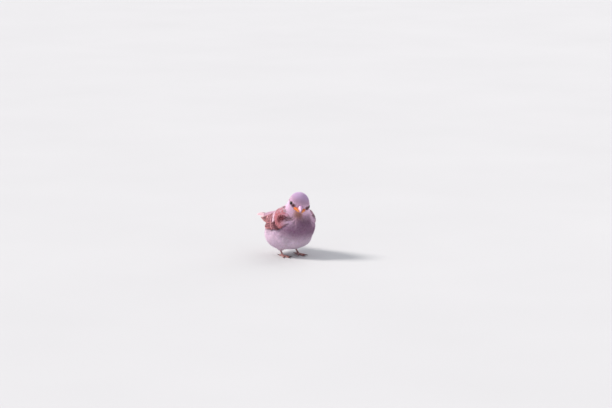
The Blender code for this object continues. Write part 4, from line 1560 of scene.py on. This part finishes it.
def claw_cloud(toe, root, ahead):
    """A curved claw that starts inside its toe's end."""
    u = np.linspace(-0.12, 1, 26)
    nail = root + ahead * toe.length + ahead * (0.3 + toe.claw * u)[:, None]
    nail = nail + np.stack([0 * u, 0 * u, 0.07 + 0.75 * u * (1 - u) - 0.22 * u - 0.55], axis=1)
    nail[:, 2] = np.maximum(nail[:, 2], 0.3)
    radii = np.interp(u, (-0.12, 0, 0.25, 0.5, 0.75, 1), (0.5, 0.6, 0.56, 0.46, 0.32, 0.08))
    return tube_cloud(nail, radii, mix(TINT["leg_dark"], TINT["claw"], smooth(-0.1, 0.3, u)), 14)


def make_legs(scaly, horn):
    """Both shanks, foot pads, toes and claws."""
    for side, hand in SIDES.items():
        root = mirrored((FOOT_X, FOOT_Y, TOE_ROOT_Z), side)
        add_solid(f"shank_scales_{side}", shank_cloud(side, root), scaly, (f"shank_{side}",))
        add_solid(f"foot_pad_scales_{side}", pad_cloud(root), scaly, (f"foot_pad_{side}",))
        for name, toe in TOES.items():
            bearing = math.radians(toe.bearing) * hand
            ahead = np.array((math.sin(bearing), -math.cos(bearing), 0))
            part, claw = toe_cloud(toe, root, ahead), claw_cloud(toe, root, ahead)
            add_solid(f"toe_scales_{side}_{name}", part, scaly, (f"toe_{side}_{name}",))
            add_solid(f"claw_horn_{side}_{name}", claw, horn, (f"claw_{side}_{name}",))


# ---- the stage ----
AZIMUTH, ELEVATION, LENS, DISTANCE = -33.0, 10.0, 135.0, 3.0
ASIDE, ABOVE = 21.6, 31.4  # how far the picture's middle is right of and over the bird's, in millimetres
FLOOR_REACH = 14.0


def camera_axes():
    """From the bird to the camera, and the picture's right and up."""
    a, e = math.radians(AZIMUTH), math.radians(ELEVATION)
    away = Vector((math.sin(a) * math.cos(e), -math.cos(a) * math.cos(e), math.sin(e)))
    right = Vector((math.cos(a), math.sin(a), 0))
    return away, right, away.cross(right)


def make_floor():
    """A wide pale floor with a faint mottle."""
    mesh = bpy.data.meshes.new("floor")
    corners = [(x * FLOOR_REACH, y * FLOOR_REACH, 0) for x, y in ((-1, -1), (1, -1), (1, 1), (-1, 1))]
    mesh.from_pydata(corners, [], [(0, 1, 2, 3)])
    floor = linked("floor", mesh)
    shader = Shader("floor")
    mottle = shader.noise(shader.node("ShaderNodeTexCoord").outputs["Object"], 3.0, 2.0)
    shader.feed(shader.surface.inputs["Base Color"], shader.spread(mottle, 0.55, 0.59))
    mesh.materials.append(shader.finish(Roughness=0.9, Specular_IOR_Level=0.2))


def add_sun(name, energy, width, colour, towards):
    """A far lamp, so many degrees wide."""
    sun = bpy.data.lights.new(name, "SUN")
    sun.energy, sun.angle, sun.color = energy, math.radians(width), colour
    linked(name, sun).rotation_euler = towards.to_track_quat("Z", "Y").to_euler()


def make_stage():
    """The floor, soft light from the upper left, and the camera."""
    make_floor()
    scene = bpy.context.scene
    scene.world = bpy.data.worlds.new("studio")
    scene.world.use_nodes = True
    sky = scene.world.node_tree.nodes["Background"]
    sky.inputs["Color"].default_value = (0.9, 0.92, 1.0, 1)
    sky.inputs["Strength"].default_value = 0.68
    away, right, up = camera_axes()
    add_sun("key", 3.2, 18, (1.0, 0.95, 0.92), right * -1.25 + up * 1.2 + away * 0.25)
    add_sun("fill", 1.0, 60, (1.0, 1.0, 1.0), right * 0.7 + up * 1.1 - away * 1.0)
    camera = bpy.data.cameras.new("camera")
    camera.lens, camera.sensor_width = LENS, 36.0
    camera.clip_end = 100
    eye = linked("camera", camera)
    middle = Vector((0, SHIFT_Y, 36)) * MM
    eye.location = middle + (right * ASIDE + up * ABOVE) * MM + away * DISTANCE
    eye.rotation_euler = away.to_track_quat("Z", "Y").to_euler()
    scene.camera = eye
    scene.view_settings.view_transform = "Standard"


# ---- the whole bird ----
foot_low, foot_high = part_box("foot_pad_left")
SHIFT_Y = (foot_low.y + foot_high.y) / 2 / MM - FOOT_Y
EYES = find_eyes()

make_stage()
plumage, vanes, scaly = plumage_material(), vane_material(), scale_material("leg_scales", 0.5)
skin = make_skin(skin_material())
roots = scatter(skin, spacing_at)
make_coat(roots, plumage)
make_wings(vanes, plumage, roots)
make_tail(vanes)
make_head_parts(horn_material(), waxy_material(), eye_material(), scaly)
make_legs(scaly, scale_material("claw_horn", 0.35))
